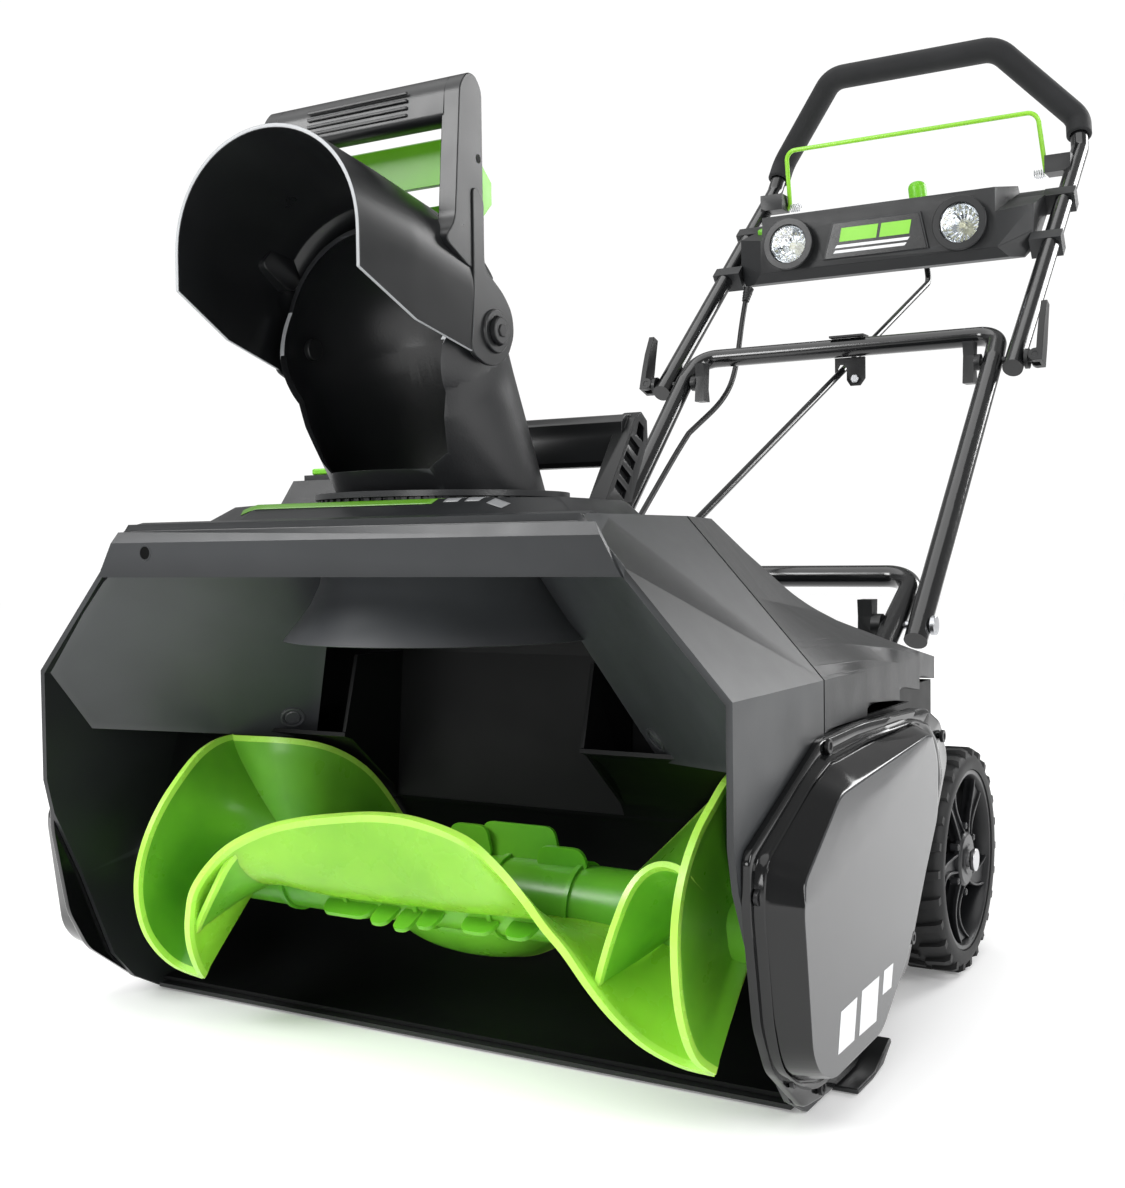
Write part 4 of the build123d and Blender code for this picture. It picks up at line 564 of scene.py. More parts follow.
# ----------------------------------------------------------- side covers
FLANGE = [(121, 222), (9, 173.5), (9, 140), (22, 76), (39, 46), (88, 9), (128, 4), (180, 4), (196, 11), (279, 45), (364, 180), (349, 209),
          (318, 222), (203, 224.6)]
FACE = [(100, 194), (31, 156), (27, 142), (39, 60), (50, 46), (72, 36), (160, 38), (213, 72), (284, 152), (285, 190), (272, 209), (262, 210)]


def radial(poly, angles, cy, cz):
    """Distance from a centre to a closed outline along each direction."""
    out = []
    for a in angles:
        dy, dz = math.cos(a), math.sin(a)
        best = 0.0
        for i in range(len(poly)):
            (y0, z0), (y1, z1) = poly[i - 1], poly[i]
            ey, ez = y1 - y0, z1 - z0
            den = dy * ez - dz * ey
            if abs(den) < 1e-9:
                continue
            t = ((y0 - cy) * ez - (z0 - cz) * ey) / den
            u = ((y0 - cy) * dz - (z0 - cz) * dy) / den
            if t > 0 and -1e-6 <= u <= 1 + 1e-6:
                best = max(best, t)
        out.append(best)
    return out


def cover(s):
    cy, cz = 160.0, 120.0
    fl, fa = rounded(FLANGE, 7, 6), rounded(FACE, 9, 6)
    angles = sorted({round(math.atan2(z - cz, y - cy) % (2 * math.pi), 5) for y, z in fl + fa}
                    | {round(2 * math.pi * k / 96, 5) for k in range(96)})
    r0, r1 = radial(fl, angles, cy, cz), radial(fa, angles, cy, cz)
    n = len(angles)
    rings = []

    def top(y):
        return 275.2 + max(0.0, min(1.0, (y - 190) / 174.0)) * 10.0

    def crease(y, z):
        line = 154 + (215 - 154) * (y - 60) / 238.0
        return 0.17 * max(0.0, z - line)

    for t, dx, w in ((0.0, 270.4, -1), (0.0, -1.4, 0), (0.02, -0.4, 0), (0.05, 0.0, 0), (0.30, 0.0, 0), (0.325, 0.8, 0), (0.345, 3.6, 0), (0.37, 5.0, 0),
                     (0.42, 5.6, 0), (0.47, 5.2, 0), (0.50, 4.0, 0), (0.54, 3.8, 0), (0.575, 5.0, 0), (0.61, 7.0, 0), (0.93, 0.86, 1), (0.965, 0.955, 1),
                     (0.985, 0.985, 1), (1.0, 1.0, 1)):
        row = []
        for k, a in enumerate(angles):
            r = r0[k] * (1 - t) + r1[k] * t
            y, z = cy + r * math.cos(a), cz + r * math.sin(a)
            hi = 299.4 - crease(y, z)
            lo = top(y)
            if w < 0:
                x = dx
            elif w == 0:
                x = min(lo + dx, hi - 1.0)
            else:
                b = min(lo + 7.0, hi - 1.0)
                x = b + (hi - b) * dx
            row.append(D(s * x, y, z))
        rings.append(row)
    for q in (0.985, 0.95, 0.88, 0.78, 0.66, 0.54, 0.42, 0.30, 0.18, 0.07):
        row = []
        for k, a in enumerate(angles):
            r = r1[k] * q
            y, z = cy + r * math.cos(a), cz + r * math.sin(a)
            row.append(D(s * (299.4 - crease(y, z)), y, z))
        rings.append(row)
    V = [p for row in rings for p in row]
    F, I = [], []
    for i in range(len(rings) - 1):
        for k in range(n):
            F.append((i * n + k, i * n + (k + 1) % n, (i + 1) * n + (k + 1) % n, (i + 1) * n + k))
            # the face's quads (i >= 16) and its centre cap take the lighter cover material: painted reflection
            I.append(1 if i >= 16 else 0)
    F += [tuple((len(rings) - 1) * n + k for k in range(n)), tuple(range(n - 1, -1, -1))]
    I += [1, 0]
    side = "right" if s > 0 else "left"
    make("side_shell_" + side, V, F, [M["cover_edge"], M["cover_face_painted_reflection"]], "machine", ["side_cover_" + side],
         angle=38, indices=I)
    # slanted bars near the lower front corner
    for k, q in enumerate((((83.6, 71.4), (111.7, 72.4), (105.8, 48.4), (78.1, 48.2)), ((120.8, 73.5), (153.1, 74.0), (146.8, 47.8), (114.9, 48.1)),
                           ((163.0, 74.6), (181.3, 74.8), (176.9, 60.5), (159.5, 60.5)))):
        v, f = prism(q, s * 299.35, s * 299.62, in_x)
        make("side_bar_%s_%d" % (side, k), v, f, M["white"], "machine", angle=40)


cover(1)
cover(-1)

# wall behind the funnel, dark with the inside material's painted shade
v, f = prism([(-205, 146), (205, 146), (205, 262), (150, 332), (-150, 332), (-205, 262)], 206.0, 208.0, in_y)
make("funnel_back", v, f, M["inner"], "machine", angle=30)


# ----------------------------------------------------- inside of the scoop
def gusset(s):
    """Slanted corner panel of the funnel, slightly hollow, with its screw boss."""
    A, B, C, E, G, H = [Vector(q) for q in ((267.5, 3.5, 258), (205, 3.5, 323.5), (176, 12, 343), (84, 106, 329), (150, 160, 198), (267.5, 42, 211))]
    nor = Vector((8976, 10230, 8568)).normalized()
    c0 = 4646802 / Vector((8976, 10230, 8568)).length
    grid = []
    n, m = 26, 22
    for i in range(n + 1):
        u = i / n
        # outer edge H-A-B-C and inner edge G-E
        t = u * 3
        outer = H.lerp(A, t) if t < 1 else (A.lerp(B, t - 1) if t < 2 else B.lerp(C, t - 2))
        inner = G.lerp(E, u)
        row = []
        for j in range(m + 1):
            w = j / m
            p = outer.lerp(inner, w)
            p = p - nor * (p.dot(nor) - c0)
            p = p + nor * 7.0 * math.sin(math.pi * w) * math.sin(math.pi * min(1, u * 1.1)) * 0.6
            row.append(D(s * p.x, p.y, p.z))
        grid.append(row)
    gp = [thick_grid(grid, lambda i, j: 0.0025)]
    b = Vector((155, 139, 214))
    b = b - nor * (b.dot(nor) - c0) - nor * 1.6
    for prof in ([(0.0, 0.0001), (0.0, 0.0052), (0.0006, 0.0060), (0.003, 0.0060), (0.003, 0.0001)],
                 [(0.0, 0.0070), (-0.0004, 0.0082), (0.0, 0.0094), (0.003, 0.0094), (0.003, 0.0070)]):
        v, f = revolve_mesh(prof, D(s * b.x, b.y, b.z), (s * nor.x, nor.y, nor.z), 40)
        gp.append((v, f, 0))
    V, F, I = merge(gp)
    make("funnel_gusset_" + ("right" if s > 0 else "left"), V, F, M["funnel"], "machine",
         ["funnel_panels"] if s > 0 else [], angle=35, indices=I)


gusset(1)
gusset(-1)
# flared bell that hangs from the chute's base into the scoop
v, f = revolve_mesh([(0.347, 0.0835), (0.332, 0.0838), (0.318, 0.0860), (0.304, 0.0925), (0.291, 0.1020), (0.2795, 0.1115), (0.2790, 0.1092),
                     (0.290, 0.0996), (0.303, 0.0900), (0.317, 0.0835), (0.332, 0.0815), (0.347, 0.0812)], D(0, 122, 0), (0, 0, 1), 96)
make("throat_bell", v, f, M["funnel"], "machine", angle=30)
cb = bpy.data.objects["chute_base_skin"]
for v in cb.data.vertices:
    if v.co.z < 0.286:
        v.co.z = 0.286


# ------------------------------------------------------------ deflector hood
def arch_pts(y, half, zb, zs, zt, inset, n=40):
    h = half - inset
    pts = [(h, zb), (h, (zb + zs) / 2), (h, zs)]
    for k in range(1, n):
        a = math.pi * k / n
        pts.append((h * math.cos(a), zs + (zt - inset - zs) * math.sin(a) ** 0.92))
    pts += [(-h, zs), (-h, (zb + zs) / 2), (-h, zb)]
    return [D(x, y, z) for x, z in pts]


def hood_at(t):
    """Arch numbers along the hood, t from 0 at the mouth to 1 at the back."""
    y = -58 + 104 * t
    if y < -10:
        f = (y + 58) / 48.0
        a, b = (71, 500, 520, 590), (75.5, 476, 512, 580)
    else:
        f = (y + 10) / 56.0
        a, b = (75.5, 476, 512, 580), (80, 462, 500, 567)
    return (y,) + tuple(p + (q - p) * f for p, q in zip(a, b))


def hood_shell():
    V, F, I = [], [], []
    rings = []
    for k in range(27):
        y, h, zb, zs, zt = hood_at(k / 26.0)
        rings.append((arch_pts(y, h, zb, zs, zt, 0.0), arch_pts(y, h, zb, zs, zt, 2.6)))
    # the back closes onto a ball round the pivot, so that it stays clear of the tube's dome while tilting
    _, h, zb, zs, zt = hood_at(1.0)
    for y, w, lo in ((49, 0.30, 470), (52, 0.60, 478), (55, 0.85, 486), (58, 1.0, 492), (63, 1.0, 499), (68, 1.0, 505), (73, 1.0, 510), (78, 1.0, 514)):
        pair = []
        for inset in (0.0, 2.6):
            r = math.sqrt((81.6 - inset) ** 2 - (y - 67.0) ** 2)
            a0 = math.asin((lo - 478.0) / r)
            flat = arch_pts(y, h, lo, max(zs, lo + 4), zt, inset)
            row = []
            for q, p in enumerate(flat):
                a = a0 + (math.pi - 2 * a0) * q / (len(flat) - 1)
                row.append(p.lerp(D(r * math.cos(a), y, 478 + r * math.sin(a)), w))
            pair.append(row)
        rings.append(tuple(pair))
    m = len(rings[0][0])
    for o, i in rings:
        V += o + i
    n = len(rings)
    for k in range(n - 1):
        a, b = k * 2 * m, (k + 1) * 2 * m
        for j in range(m - 1):
            F.append((a + j, a + j + 1, b + j + 1, b + j))
            F.append((a + m + j, b + m + j, b + m + j + 1, a + m + j + 1))
            I += [0, 0]
        # the arch's long edge faces take the second material: painted highlight
        F.append((a, b, b + m, a + m))
        F.append((a + m - 1, a + 2 * m - 1, b + 2 * m - 1, b + m - 1))
        I += [1, 1]
    # the mouth's end face takes the painted-highlight material as well, the back end does not
    for a, k in ((0, 1), ((n - 1) * 2 * m, 0)):
        for j in range(m - 1):
            F.append((a + j, a + j + 1, a + m + j + 1, a + m + j))
            I.append(k)
    return V, F, I


hood_parts = [hood_shell()]
cheek = rounded([(40, 462), (57, 455.5), (70, 456.5), (82, 463), (90, 478), (88, 492), (78, 503), (56, 516), (56, 560), (44, 566), (44, 500)], 7)
post = rounded([(14, 528), (26, 540), (33, 625), (41, 634), (50, 634), (57, 626), (57, 530), (46, 512)], 9)
bar = rounded([(31, 606), (33, 625), (41, 634), (50, 634), (55, 628), (54, 608), (48, 604), (36, 603)], 5)
for s in (1, -1):
    v, f = prism(cheek, s * 77.2, s * 80.2, in_x)
    hood_parts.append((v, f, 0))
    v, f = prism(post, s * 66, s * 79, in_x)
    hood_parts.append((v, f, 0))
    # boss round the pivot
    v, f = revolve_mesh([(-0.0012, 0.0092), (-0.0012, 0.0135), (0.0, 0.0142), (0.0022, 0.0135), (0.0022, 0.0092)], D(s * 80.0, 67, 478), (s, 0, 0), 40)
    hood_parts.append((v, f, 0))
v, f = prism(bar, -68, 68, in_x)
hood_parts.append((v, f, 0))
# ribs along the grip
for k in range(4):
    z = 611 + 4.6 * k
    y = 31.4 + 0.28 * k
    v, f = prism([(y - 1.0, z - 1.1), (y + 0.6, z - 1.1), (y + 0.6, z + 1.1), (y - 1.0, z + 1.1)], -40, 40, in_x)
    hood_parts.append((v, f, 0))
V, F, I = merge(hood_parts)
hood = make("hood_shell", V, F, [M["satin"], M["rim_edge_painted_highlight"]], "deflector",
            ["deflector_hood"], angle=34, bevel=0.0009, indices=I)

# -------------------------------------------------------------------- wheels
def build_wheel(s):
    side = "right" if s > 0 else "left"
    c = D(0, 441, 88.9)
    x0, x1 = (0.235, 0.281) if s > 0 else (-0.281, -0.235)
    mid, half = (x0 + x1) / 2, 0.023
    prof = [(x0 + 0.0005, 0.0712), (x0, 0.074), (x0, 0.079), (x0 + 0.0025, 0.0832), (x0 + 0.006, 0.0852), (mid, 0.0862),
            (x1 - 0.006, 0.0852), (x1 - 0.0025, 0.0832), (x1, 0.079), (x1, 0.074), (x1 - 0.0005, 0.0712)]
    parts = []
    v, f = revolve_mesh(prof, c, (1, 0, 0), 120)
    parts.append((v, f, 0))
    n = 26
    for row in range(2):
        for k in range(n):
            a0 = 2 * math.pi * (k + 0.5 * row) / n
            sk = 0.055 if row == 0 else -0.055
            xa, xb = (x0 + 0.0012, mid - 0.0016) if row == 0 else (mid + 0.0016, x1 - 0.0012)
            V, F = [], []
            for (x, r0, r1, wid) in ((xa, 0.0805, 0.0868, 0.040), (xa + 0.004 if row == 0 else xa, 0.083, 0.0888, 0.046),
                                     (xb - (0.004 if row else 0), 0.083, 0.0888, 0.046), (xb, 0.0805, 0.0868, 0.040)):
                t = (x - mid) / half
                a = a0 + sk * t
                for rr, aa in ((r0, a - wid), (r1, a - wid * 0.8), (r1, a + wid * 0.8), (r0, a + wid)):
                    V.append(Vector((x, c.y - rr * math.sin(aa), c.z + rr * math.cos(aa))))
            for q in range(3):
                for j in range(4):
                    F.append((q * 4 + j, q * 4 + (j + 1) % 4, (q + 1) * 4 + (j + 1) % 4, (q + 1) * 4 + j))
            F += [(3, 2, 1, 0), (12, 13, 14, 15)]
            parts.append((V, F, 0))
    # side wall ring: its mesh is computed here but not added to the tyre
    face = x1 if s > 0 else x0
    v, f = revolve_mesh([(face - s * 0.001, 0.0752), (face, 0.0756), (face, 0.0772), (face - s * 0.001, 0.0776)], c, (1, 0, 0), 96)
    V, F, I = merge(parts)
    make("tyre_tread_" + side, V, F, M["rubber"], "wheel_" + side, ["tyre_" + side], angle=35, indices=I)

    parts = []
    out = s * 1.0
    fx = face - out * 0.0015
    ix = x0 if s > 0 else x1

    def X(d):
        return fx - out * d
    v, f = revolve_mesh([(ix + out * 0.001, 0.0655), (ix + out * 0.001, 0.0709), (X(0.0), 0.0709), (X(-0.0), 0.0675), (X(0.003), 0.0660),
                         (X(0.014), 0.0650)], c, (1, 0, 0), 96)
    parts.append((v, f, 0))
    v, f = revolve_mesh([(ix + out * 0.002, 0.00606), (ix + out * 0.002, 0.0155), (X(0.016), 0.0165), (X(0.006), 0.022), (X(0.002), 0.0215),
                         (X(0.0005), 0.0195), (X(0.0005), 0.0120), (X(-0.0006), 0.0115), (X(-0.0006), 0.00606)], c, (1, 0, 0), 72)
    parts.append((v, f, 0))
    # web and five broad curved spokes, each with two raised edges
    for k in range(5):
        a0 = 2 * math.pi * k / 5 + 0.32
        n = 12
        for part in range(3):
            V, F = [], []
            for i in range(n + 1):
                t = i / n
                r = 0.0205 + (0.0662 - 0.0205) * t
                bend = a0 + 0.30 * t * t * s
                wid = (0.0082 - 0.0030 * math.sin(math.pi * t) + 0.004 * t * t) / r
                if part == 0:
                    aa, bb, lo, hi = bend - wid, bend + wid, 0.0085, 0.0045
                elif part == 1:
                    aa, bb, lo, hi = bend - wid, bend - wid + 0.0022 / r, 0.011, 0.0022
                else:
                    aa, bb, lo, hi = bend + wid - 0.0022 / r, bend + wid, 0.011, 0.0022
                dish = 0.0035 * math.sin(math.pi * t)
                for d, ang in ((lo + dish, aa), (hi + dish, aa), (hi + dish, bb), (lo + dish, bb)):
                    V.append(Vector((X(d), c.y - r * math.sin(ang), c.z + r * math.cos(ang))))
            for i in range(n):
                for j in range(4):
                    F.append((i * 4 + j, i * 4 + (j + 1) % 4, (i + 1) * 4 + (j + 1) % 4, (i + 1) * 4 + j))
            F += [(3, 2, 1, 0), tuple(n * 4 + q for q in range(4))]
            parts.append((V, F, 0))
    # bosses round the hub
    for k in range(6):
        a = 2 * math.pi * k / 6
        cc = Vector((X(0.004), c.y - 0.0265 * math.sin(a), c.z + 0.0265 * math.cos(a)))
        v, f = revolve_mesh([(-0.004 * out, 0.0001), (-0.004 * out, 0.0030), (0.0025 * out, 0.0026), (0.0032 * out, 0.0001)], cc, (1, 0, 0), 16)
        parts.append((v, f, 0))
    V, F, I = merge(parts)
    make("wheel_rim_" + side, V, F, M["rim"], "wheel_" + side, ["rim_" + side], angle=35, bevel=0.0005, indices=I)


build_wheel(1)
build_wheel(-1)

# --------------------------------------------------------------------- lamps
LZ = 728.0
for s in (1, -1):
    c = D(s * 110, 1070, LZ)
    # faceted bowl
    V, F = [], []
    prof = [(14, 0.5), (13.6, 5), (9.5, 14), (4, 19.5), (-2, 22.3), (-6.5, 23.5)]
    n = 40
    for i, (d, r) in enumerate(prof):
        for k in range(n):
            a = 2 * math.pi * k / n
            rr = r * (1 - (0.035 if k % 2 and 0 < i < 5 else 0))
            V.append(D(s * 110 + rr * math.cos(a), 1070 + d, LZ + rr * math.sin(a)))
    for i in range(len(prof) - 1):
        for k in range(n):
            F.append((i * n + k, i * n + (k + 1) % n, (i + 1) * n + (k + 1) % n, (i + 1) * n + k))
    F.append(tuple(range(n)))
    o = make("lamp_bowl_" + ("right" if s > 0 else "left"), V, F, M["reflector"], "upper_section",
             ["lamp_reflectors"] if s > 0 else [], angle=8)
    sol = o.modifiers.new("wall", "SOLIDIFY")
    sol.thickness = 0.0006
    sol.offset = -1
    v, f = revolve_mesh([(-0.012, 0.0001), (-0.012, 0.0032), (-0.004, 0.0038), (0.0, 0.0034), (0.0014, 0.0001)], D(s * 110, 1074, LZ), (0, -1, 0), 24)
    make("lamp_led_" + ("right" if s > 0 else "left"), v, f, led, "upper_section")
    # lens with a slight crown
    prof = [(-0.0076, 0.0001), (-0.0076, 0.0236), (-0.0105, 0.0236), (-0.0118, 0.0150), (-0.0124, 0.0001)]
    v, f = revolve_mesh([(a, b) for a, b in prof], c, (0, 1, 0), 64)
    make("lamp_glass_" + ("right" if s > 0 else "left"), v, f, M["lens"], "upper_section",
         ["lamp_lenses"] if s > 0 else [], angle=30)
    # notched ring round the bezel
    parts = []
    for k in range(4):
        a0 = math.pi / 4 + math.pi / 2 * k
        V, F = [], []
        m = 10
        for i in range(m + 1):
            a = a0 + (i / m - 0.5) * 1.15
            for r, d in ((27.0, 13.0), (27.4, 12.9), (31.6, 12.6), (32.0, 8.2), (27.0, 8.2)):
                V.append(D(s * 110 + r * math.cos(a), 1070 - d, LZ + r * math.sin(a)))
        for i in range(m):
            for j in range(5):
                F.append((i * 5 + j, i * 5 + (j + 1) % 5, (i + 1) * 5 + (j + 1) % 5, (i + 1) * 5 + j))
        F += [tuple(range(4, -1, -1)), tuple(m * 5 + j for j in range(5))]
        parts.append((V, F, 0))
    V, F, I = merge(parts)
    make("bezel_teeth_" + ("right" if s > 0 else "left"), V, F, M["satin"], "upper_section", angle=35)

# plain badge between the lamps: a dark plate with generic bars
Y0 = 1070 - 2.5


def on_face(pts, depth0, depth1, name, mat, bevel=0.0):
    v, f = prism(pts, Y0 - depth0, Y0 - depth1, in_y)
    return make(name, v, f, mat, "upper_section", angle=40, bevel=bevel)


on_face(rounded([(-64, 704), (68, 704), (58, 748), (-52, 748)], 3), 0.0, 0.9, "badge_plate", M["badge"], 0.0004)
for k, (x0, x1, z0, z1, mt) in enumerate(((-44, 4, 724, 741, "decal"), (8, 46, 724, 741, "decal"), (-50, 44, 716.5, 720.0, "white"),
                                          (-52, 40, 710, 713.5, "white"))):
    on_face([(x0, z0), (x1, z0), (x1 + 3, z1), (x0 + 3, z1)], 0.9, 1.2, "badge_bar_%d" % k, M[mt])

# --------------------------------------------------------------------- leads
def smooth_curve(pts, n=14):
    """Centripetal-like smooth line through control points (uniform B-spline with held ends)."""
    P = [pts[0], pts[0]] + list(pts) + [pts[-1], pts[-1]]
    out = []
    for i in range(len(P) - 3):
        for k in range(n):
            t = k / n
            b0 = (1 - t) ** 3 / 6
            b1 = (3 * t ** 3 - 6 * t ** 2 + 4) / 6
            b2 = (-3 * t ** 3 + 3 * t ** 2 + 3 * t + 1) / 6
            b3 = t ** 3 / 6
            out.append(P[i] * b0 + P[i + 1] * b1 + P[i + 2] * b2 + P[i + 3] * b3)
    out.append(P[-1])
    return out


upper_pts = [D(-178, 1079, 664), D(-177, 1070, 648), D(-172, 1048, 620), D(-160, 1012, 588), D(-151, 978, 556), D(-150, 958, 534),
             D(-153, 930, 512), D(-160, 902, 494), D(-165, 872, 476)]
v, f = tube_mesh(smooth_curve(upper_pts), 0.0034, 16)
o = make("lead_upper", v, f, M["cable"], "upper_section", ["upper_cable"], angle=60)
o.parent = None
o.matrix_world = Matrix.Identity(4)
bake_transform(o)
lower_pts = [D(-165, 872, 476), D(-167, 840, 450), D(-167, 790, 410), D(-166, 740, 372), D(-160, 700, 347), D(-146, 664, 330), D(-140, 634, 308),
             D(-134, 606, 287), D(-122, 568, 264), D(-113, 545, 257), D(-112, 534, 256)]
v, f = tube_mesh(smooth_curve(lower_pts), 0.0034, 16)
o = make("lead_lower", v, f, M["cable"], "middle_section", ["middle_cable", "lower_cable"], angle=60)
o.parent = None
o.matrix_world = Matrix.Identity(4)
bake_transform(o)
# strain reliefs
v, f = revolve_mesh([(0, 0.0036), (0, 0.0050), (0.002, 0.0046), (0.0035, 0.0054), (0.0055, 0.0050), (0.007, 0.0058), (0.009, 0.0054), (0.011, 0.0064),
                     (0.014, 0.0060), (0.0185, 0.0070), (0.0185, 0.0036)], D(-178, 1079, 664), (D(-176, 1085.6, 681.4) - D(-178, 1079, 664)), 32)
make("strain_relief_top", v, f, M["cable"], "upper_section", angle=30)
v, f = revolve_mesh([(0, 0.0036), (0, 0.0068), (0.003, 0.0068), (0.0036, 0.0056), (0.0048, 0.0062), (0.006, 0.0052), (0.0078, 0.0050), (0.0078, 0.0036)],
                    D(-112, 528.4, 256), (0, 1, 0), 32)
make("strain_relief_body", v, f, M["cable"], "machine", angle=30)

# ----------------------------------------------------------- small hardware
def hexagon(name, centre, axis, af, length, body, mat, socket=0.0):
    ax = Vector(axis).normalized()
    ref = Vector((0, 0, 1)) if abs(ax.z) < 0.9 else Vector((0, 1, 0))
    u = ax.cross(ref).normalized()
    w = ax.cross(u)
    r = af / 2 / math.cos(math.pi / 6)
    V, F = [], []
    for d, k in ((0.0, 1.0), (length * 0.8, 1.0), (length, 0.88)):
        for i in range(6):
            a = math.pi / 3 * i
            V.append(Vector(centre) + ax * d + (u * math.cos(a) + w * math.sin(a)) * r * k)
    for q in range(2):
        for i in range(6):
            F.append((q * 6 + i, q * 6 + (i + 1) % 6, (q + 1) * 6 + (i + 1) % 6, (q + 1) * 6 + i))
    F += [tuple(range(5, -1, -1)), tuple(12 + i for i in range(6))]
    return make(name, V, F, mat, body, angle=25, bevel=0.0003)


for s, nm in ((1, "right"), (-1, "left")):
    hexagon("pivot_hex_" + nm, D(s * 85.2, 67, 478), (s, 0, 0), 0.0075, 0.0012, "chute", M["dark_metal"])
    hexagon("wheel_nut_" + nm, D(s * 281.9, 441, 88.9), (s, 0, 0), 0.015, 0.004, "machine", M["black"])
hexagon("bracket_bolt", D(16, 949, 536), (0, -1, 0), 0.009, 0.004, "middle_section", M["zinc"])

# torsion springs of the bail, wound round its ends
for s, nm in ((1, "right"), (-1, "left")):
    pts = []
    for k in range(90):
        a = 2 * math.pi * k / 18
        pts.append(D(s * (160 + 14 * k / 89.0), 1236 + 5.2 * math.cos(a), 816 + 5.2 * math.sin(a)))
    v, f = tube_mesh(pts, 0.0007, 8)
    make("bail_spring_" + nm, v, f, M["zinc"], "upper_section", angle=60)

# -------------------------------------------------------------------- decals, a painted-shade hole and a painted-highlight edge
skin = bpy.data.objects
patch("top_stripe", [D(-108, 38, 420), D(60, 38, 420), D(55, 30, 420), D(-103, 30, 420)], (0, 0, -1), skin["chute_base_skin"], M["decal_dim"], "machine", nu=24, nv=6)
for k in range(3):
    x = 66 + 16 * k
    patch("top_mark_%d" % k, [D(x, 37, 420), D(x + 11, 37, 420), D(x + 8, 31, 420), D(x - 3, 31, 420)], (0, 0, -1), skin["chute_base_skin"],
          M["grey_mark"], "machine", offset=0.0003, nu=6, nv=4)
# screw hole at the left end of the lip: a near-black disc for the hole's shade (painted shade), with a ring of housing
# plastic
dg = bpy.context.evaluated_depsgraph_get()
lip = skin["auger_housing_skin"].evaluated_get(dg)
lm = lip.to_mesh()
tree = BVHTree.FromPolygons([skin["auger_housing_skin"].matrix_world @ v.co for v in lm.vertices], [tuple(p.vertices) for p in lm.polygons])
lip.to_mesh_clear()
loc, nrm, _, _ = tree.ray_cast(D(-159.5, -60, 340.5), Vector((0, 1, 0)), 0.3)
if loc is not None:
    v, f = revolve_mesh([(-0.0004, 0.0001), (-0.0004, 0.0043), (0.0002, 0.0043), (0.0002, 0.0001)], loc, nrm, 32)
    make("lip_hole", v, f, M["hole"], "machine", angle=30)
    v, f = revolve_mesh([(-0.0004, 0.0043), (0.0004, 0.0045), (0.0004, 0.0054), (-0.0004, 0.0058)], loc, nrm, 32)
    make("lip_hole_rim", v, f, M["shell"], "machine", angle=30)
# painted highlight: lighter grey on the cut edge round the chute tube's front opening
CUT = [(-60, 420), (24, 452), (43, 500), (42, 560), (30, 600)]
tube = skin["chute_tube_skin"]
tube.data.materials.append(M["rim_edge_painted_highlight"])
for p in tube.data.polygons:
    c = p.center
    y, z = c.y * 1000 + YM, c.z * 1000
    if abs(p.normal.x) > 0.08 or not 440 < z < 499 or y > 60:
        continue
    for (y0, z0), (y1, z1) in zip(CUT, CUT[1:]):
        L = math.hypot(y1 - y0, z1 - z0)
        off = abs((y - y0) * (z1 - z0) - (z - z0) * (y1 - y0)) / L
        al = ((y - y0) * (y1 - y0) + (z - z0) * (z1 - z0)) / L / L
        if off < 0.6 and -0.05 < al < 1.05:
            p.material_index = 1

# ------------------------------------------------------------------- stage
floor_me = bpy.data.meshes.new("floor")
floor_me.from_pydata([(-9, -9, -0.0006), (9, -9, -0.0006), (9, 9, -0.0006), (-9, 9, -0.0006)], [], [(0, 1, 2, 3)])
floor_me.materials.append(floor_mat)
floor = link(bpy.data.objects.new("floor", floor_me))

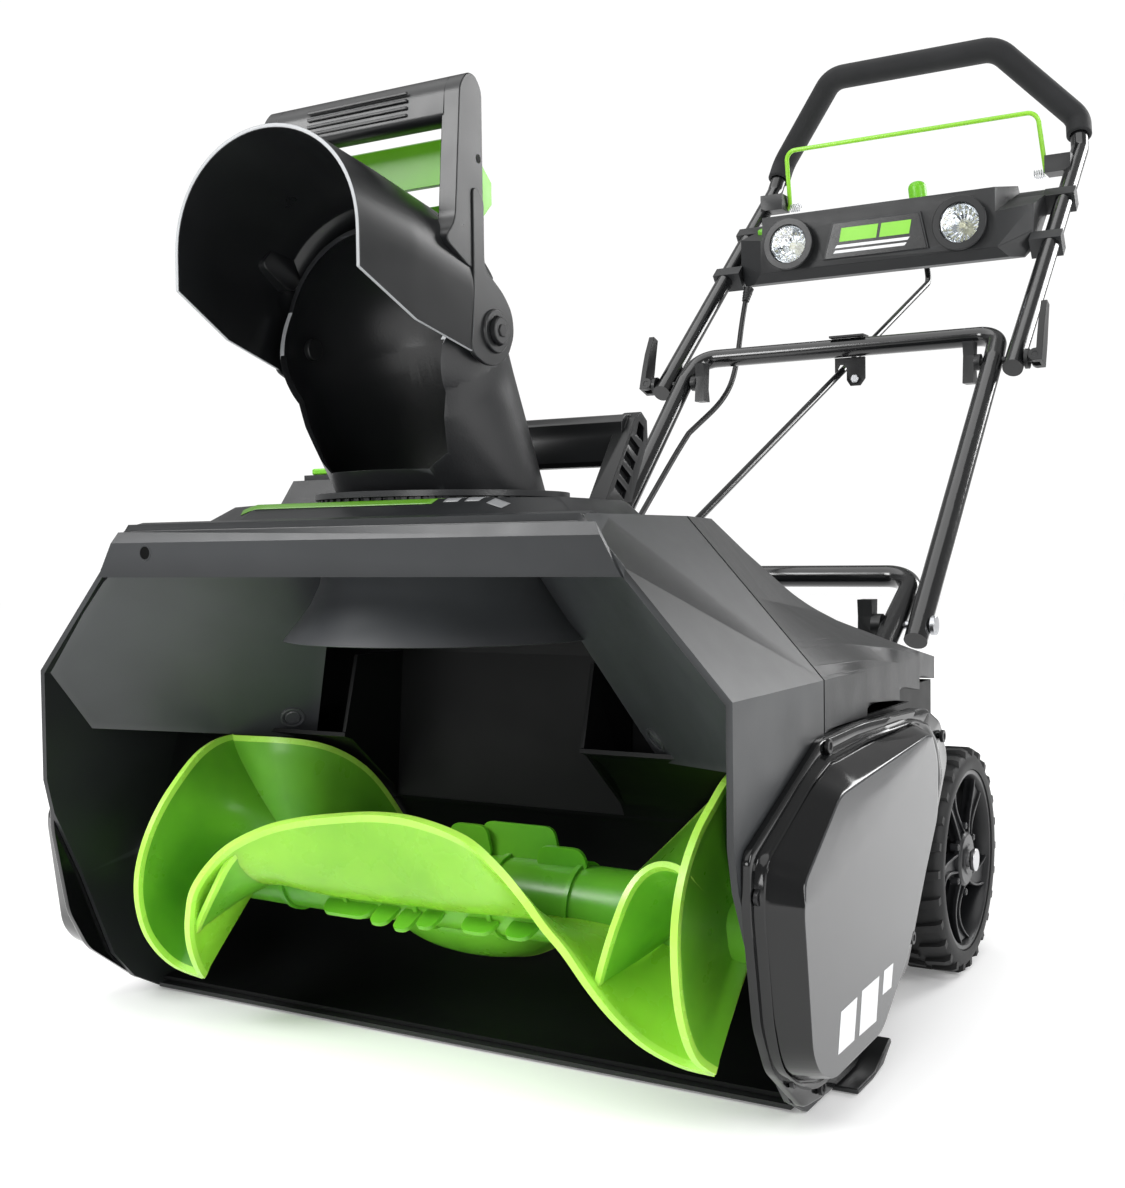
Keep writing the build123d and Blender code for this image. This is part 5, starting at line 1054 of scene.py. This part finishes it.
world = bpy.data.worlds.new("studio")
bpy.context.scene.world = world
world.use_nodes = True
wn = world.node_tree
bg = wn.nodes["Background"]
bg.inputs[0].default_value = (1, 1, 1, 1)
bg.inputs[1].default_value = 0.37
white_bg = wn.nodes.new("ShaderNodeBackground")
white_bg.inputs[0].default_value = (1, 1, 1, 1)
white_bg.inputs[1].default_value = 1.05
seen = wn.nodes.new("ShaderNodeLightPath")
both = wn.nodes.new("ShaderNodeMixShader")
wn.links.new(seen.outputs["Is Camera Ray"], both.inputs[0])
wn.links.new(bg.outputs[0], both.inputs[1])
wn.links.new(white_bg.outputs[0], both.inputs[2])
wn.links.new(both.outputs[0], wn.nodes["World Output"].inputs[0])
bpy.context.scene.view_settings.view_transform = "Standard"


def area(name, loc, target, size, power, sy=None, color=(1, 1, 1)):
    l = bpy.data.lights.new(name, "AREA")
    l.energy, l.size, l.color = power, size, color
    if sy:
        l.shape, l.size_y = "RECTANGLE", sy
    o = link(bpy.data.objects.new(name, l))
    o.location = loc
    o.rotation_mode = "QUATERNION"
    o.rotation_quaternion = (Vector(target) - Vector(loc)).to_track_quat("-Z", "Y")
    return o


sun = bpy.data.lights.new("overhead", "SUN")
sun.energy = 1.9
sun.angle = math.radians(75)
so = link(bpy.data.objects.new("overhead", sun))
so.rotation_mode = "QUATERNION"
so.rotation_quaternion = Vector((0.22, 0.30, -1.0)).to_track_quat("-Z", "Y")
area("key", (-1.5, -2.3, 1.7), (0, -0.3, 0.3), 1.0, 42, 1.0)
area("fill", (2.5, -0.9, 1.3), (0.1, -0.2, 0.3), 0.9, 34, 1.6)
area("rim", (1.4, 2.3, 1.7), (0, 0.2, 0.5), 1.0, 34, 1.2)
area("low", (0.5, -2.6, 0.55), (0, -0.5, 0.15), 0.7, 9, 0.5)

yaw, pitch, roll = math.radians(30.2986), math.radians(-1.8155), math.radians(-0.7255)
fw = Vector((-math.sin(yaw) * math.cos(pitch), math.cos(yaw) * math.cos(pitch), math.sin(pitch)))
rt = Vector((math.cos(yaw), math.sin(yaw), 0))
up = rt.cross(fw)
r2 = rt * math.cos(roll) + up * math.sin(roll)
u2 = up * math.cos(roll) - rt * math.sin(roll)
cam = bpy.data.cameras.new("camera")
cam.lens = 1443.94 * 36.0 / 1188.0
cam.sensor_width = 36.0
cam.clip_start, cam.clip_end = 0.05, 60
co = link(bpy.data.objects.new("camera", cam))
co.matrix_world = Matrix(((r2.x, u2.x, -fw.x, 0.57877), (r2.y, u2.y, -fw.y, -0.70609 - YM / 1000), (r2.z, u2.z, -fw.z, 0.34019), (0, 0, 0, 1)))
bpy.context.scene.camera = co
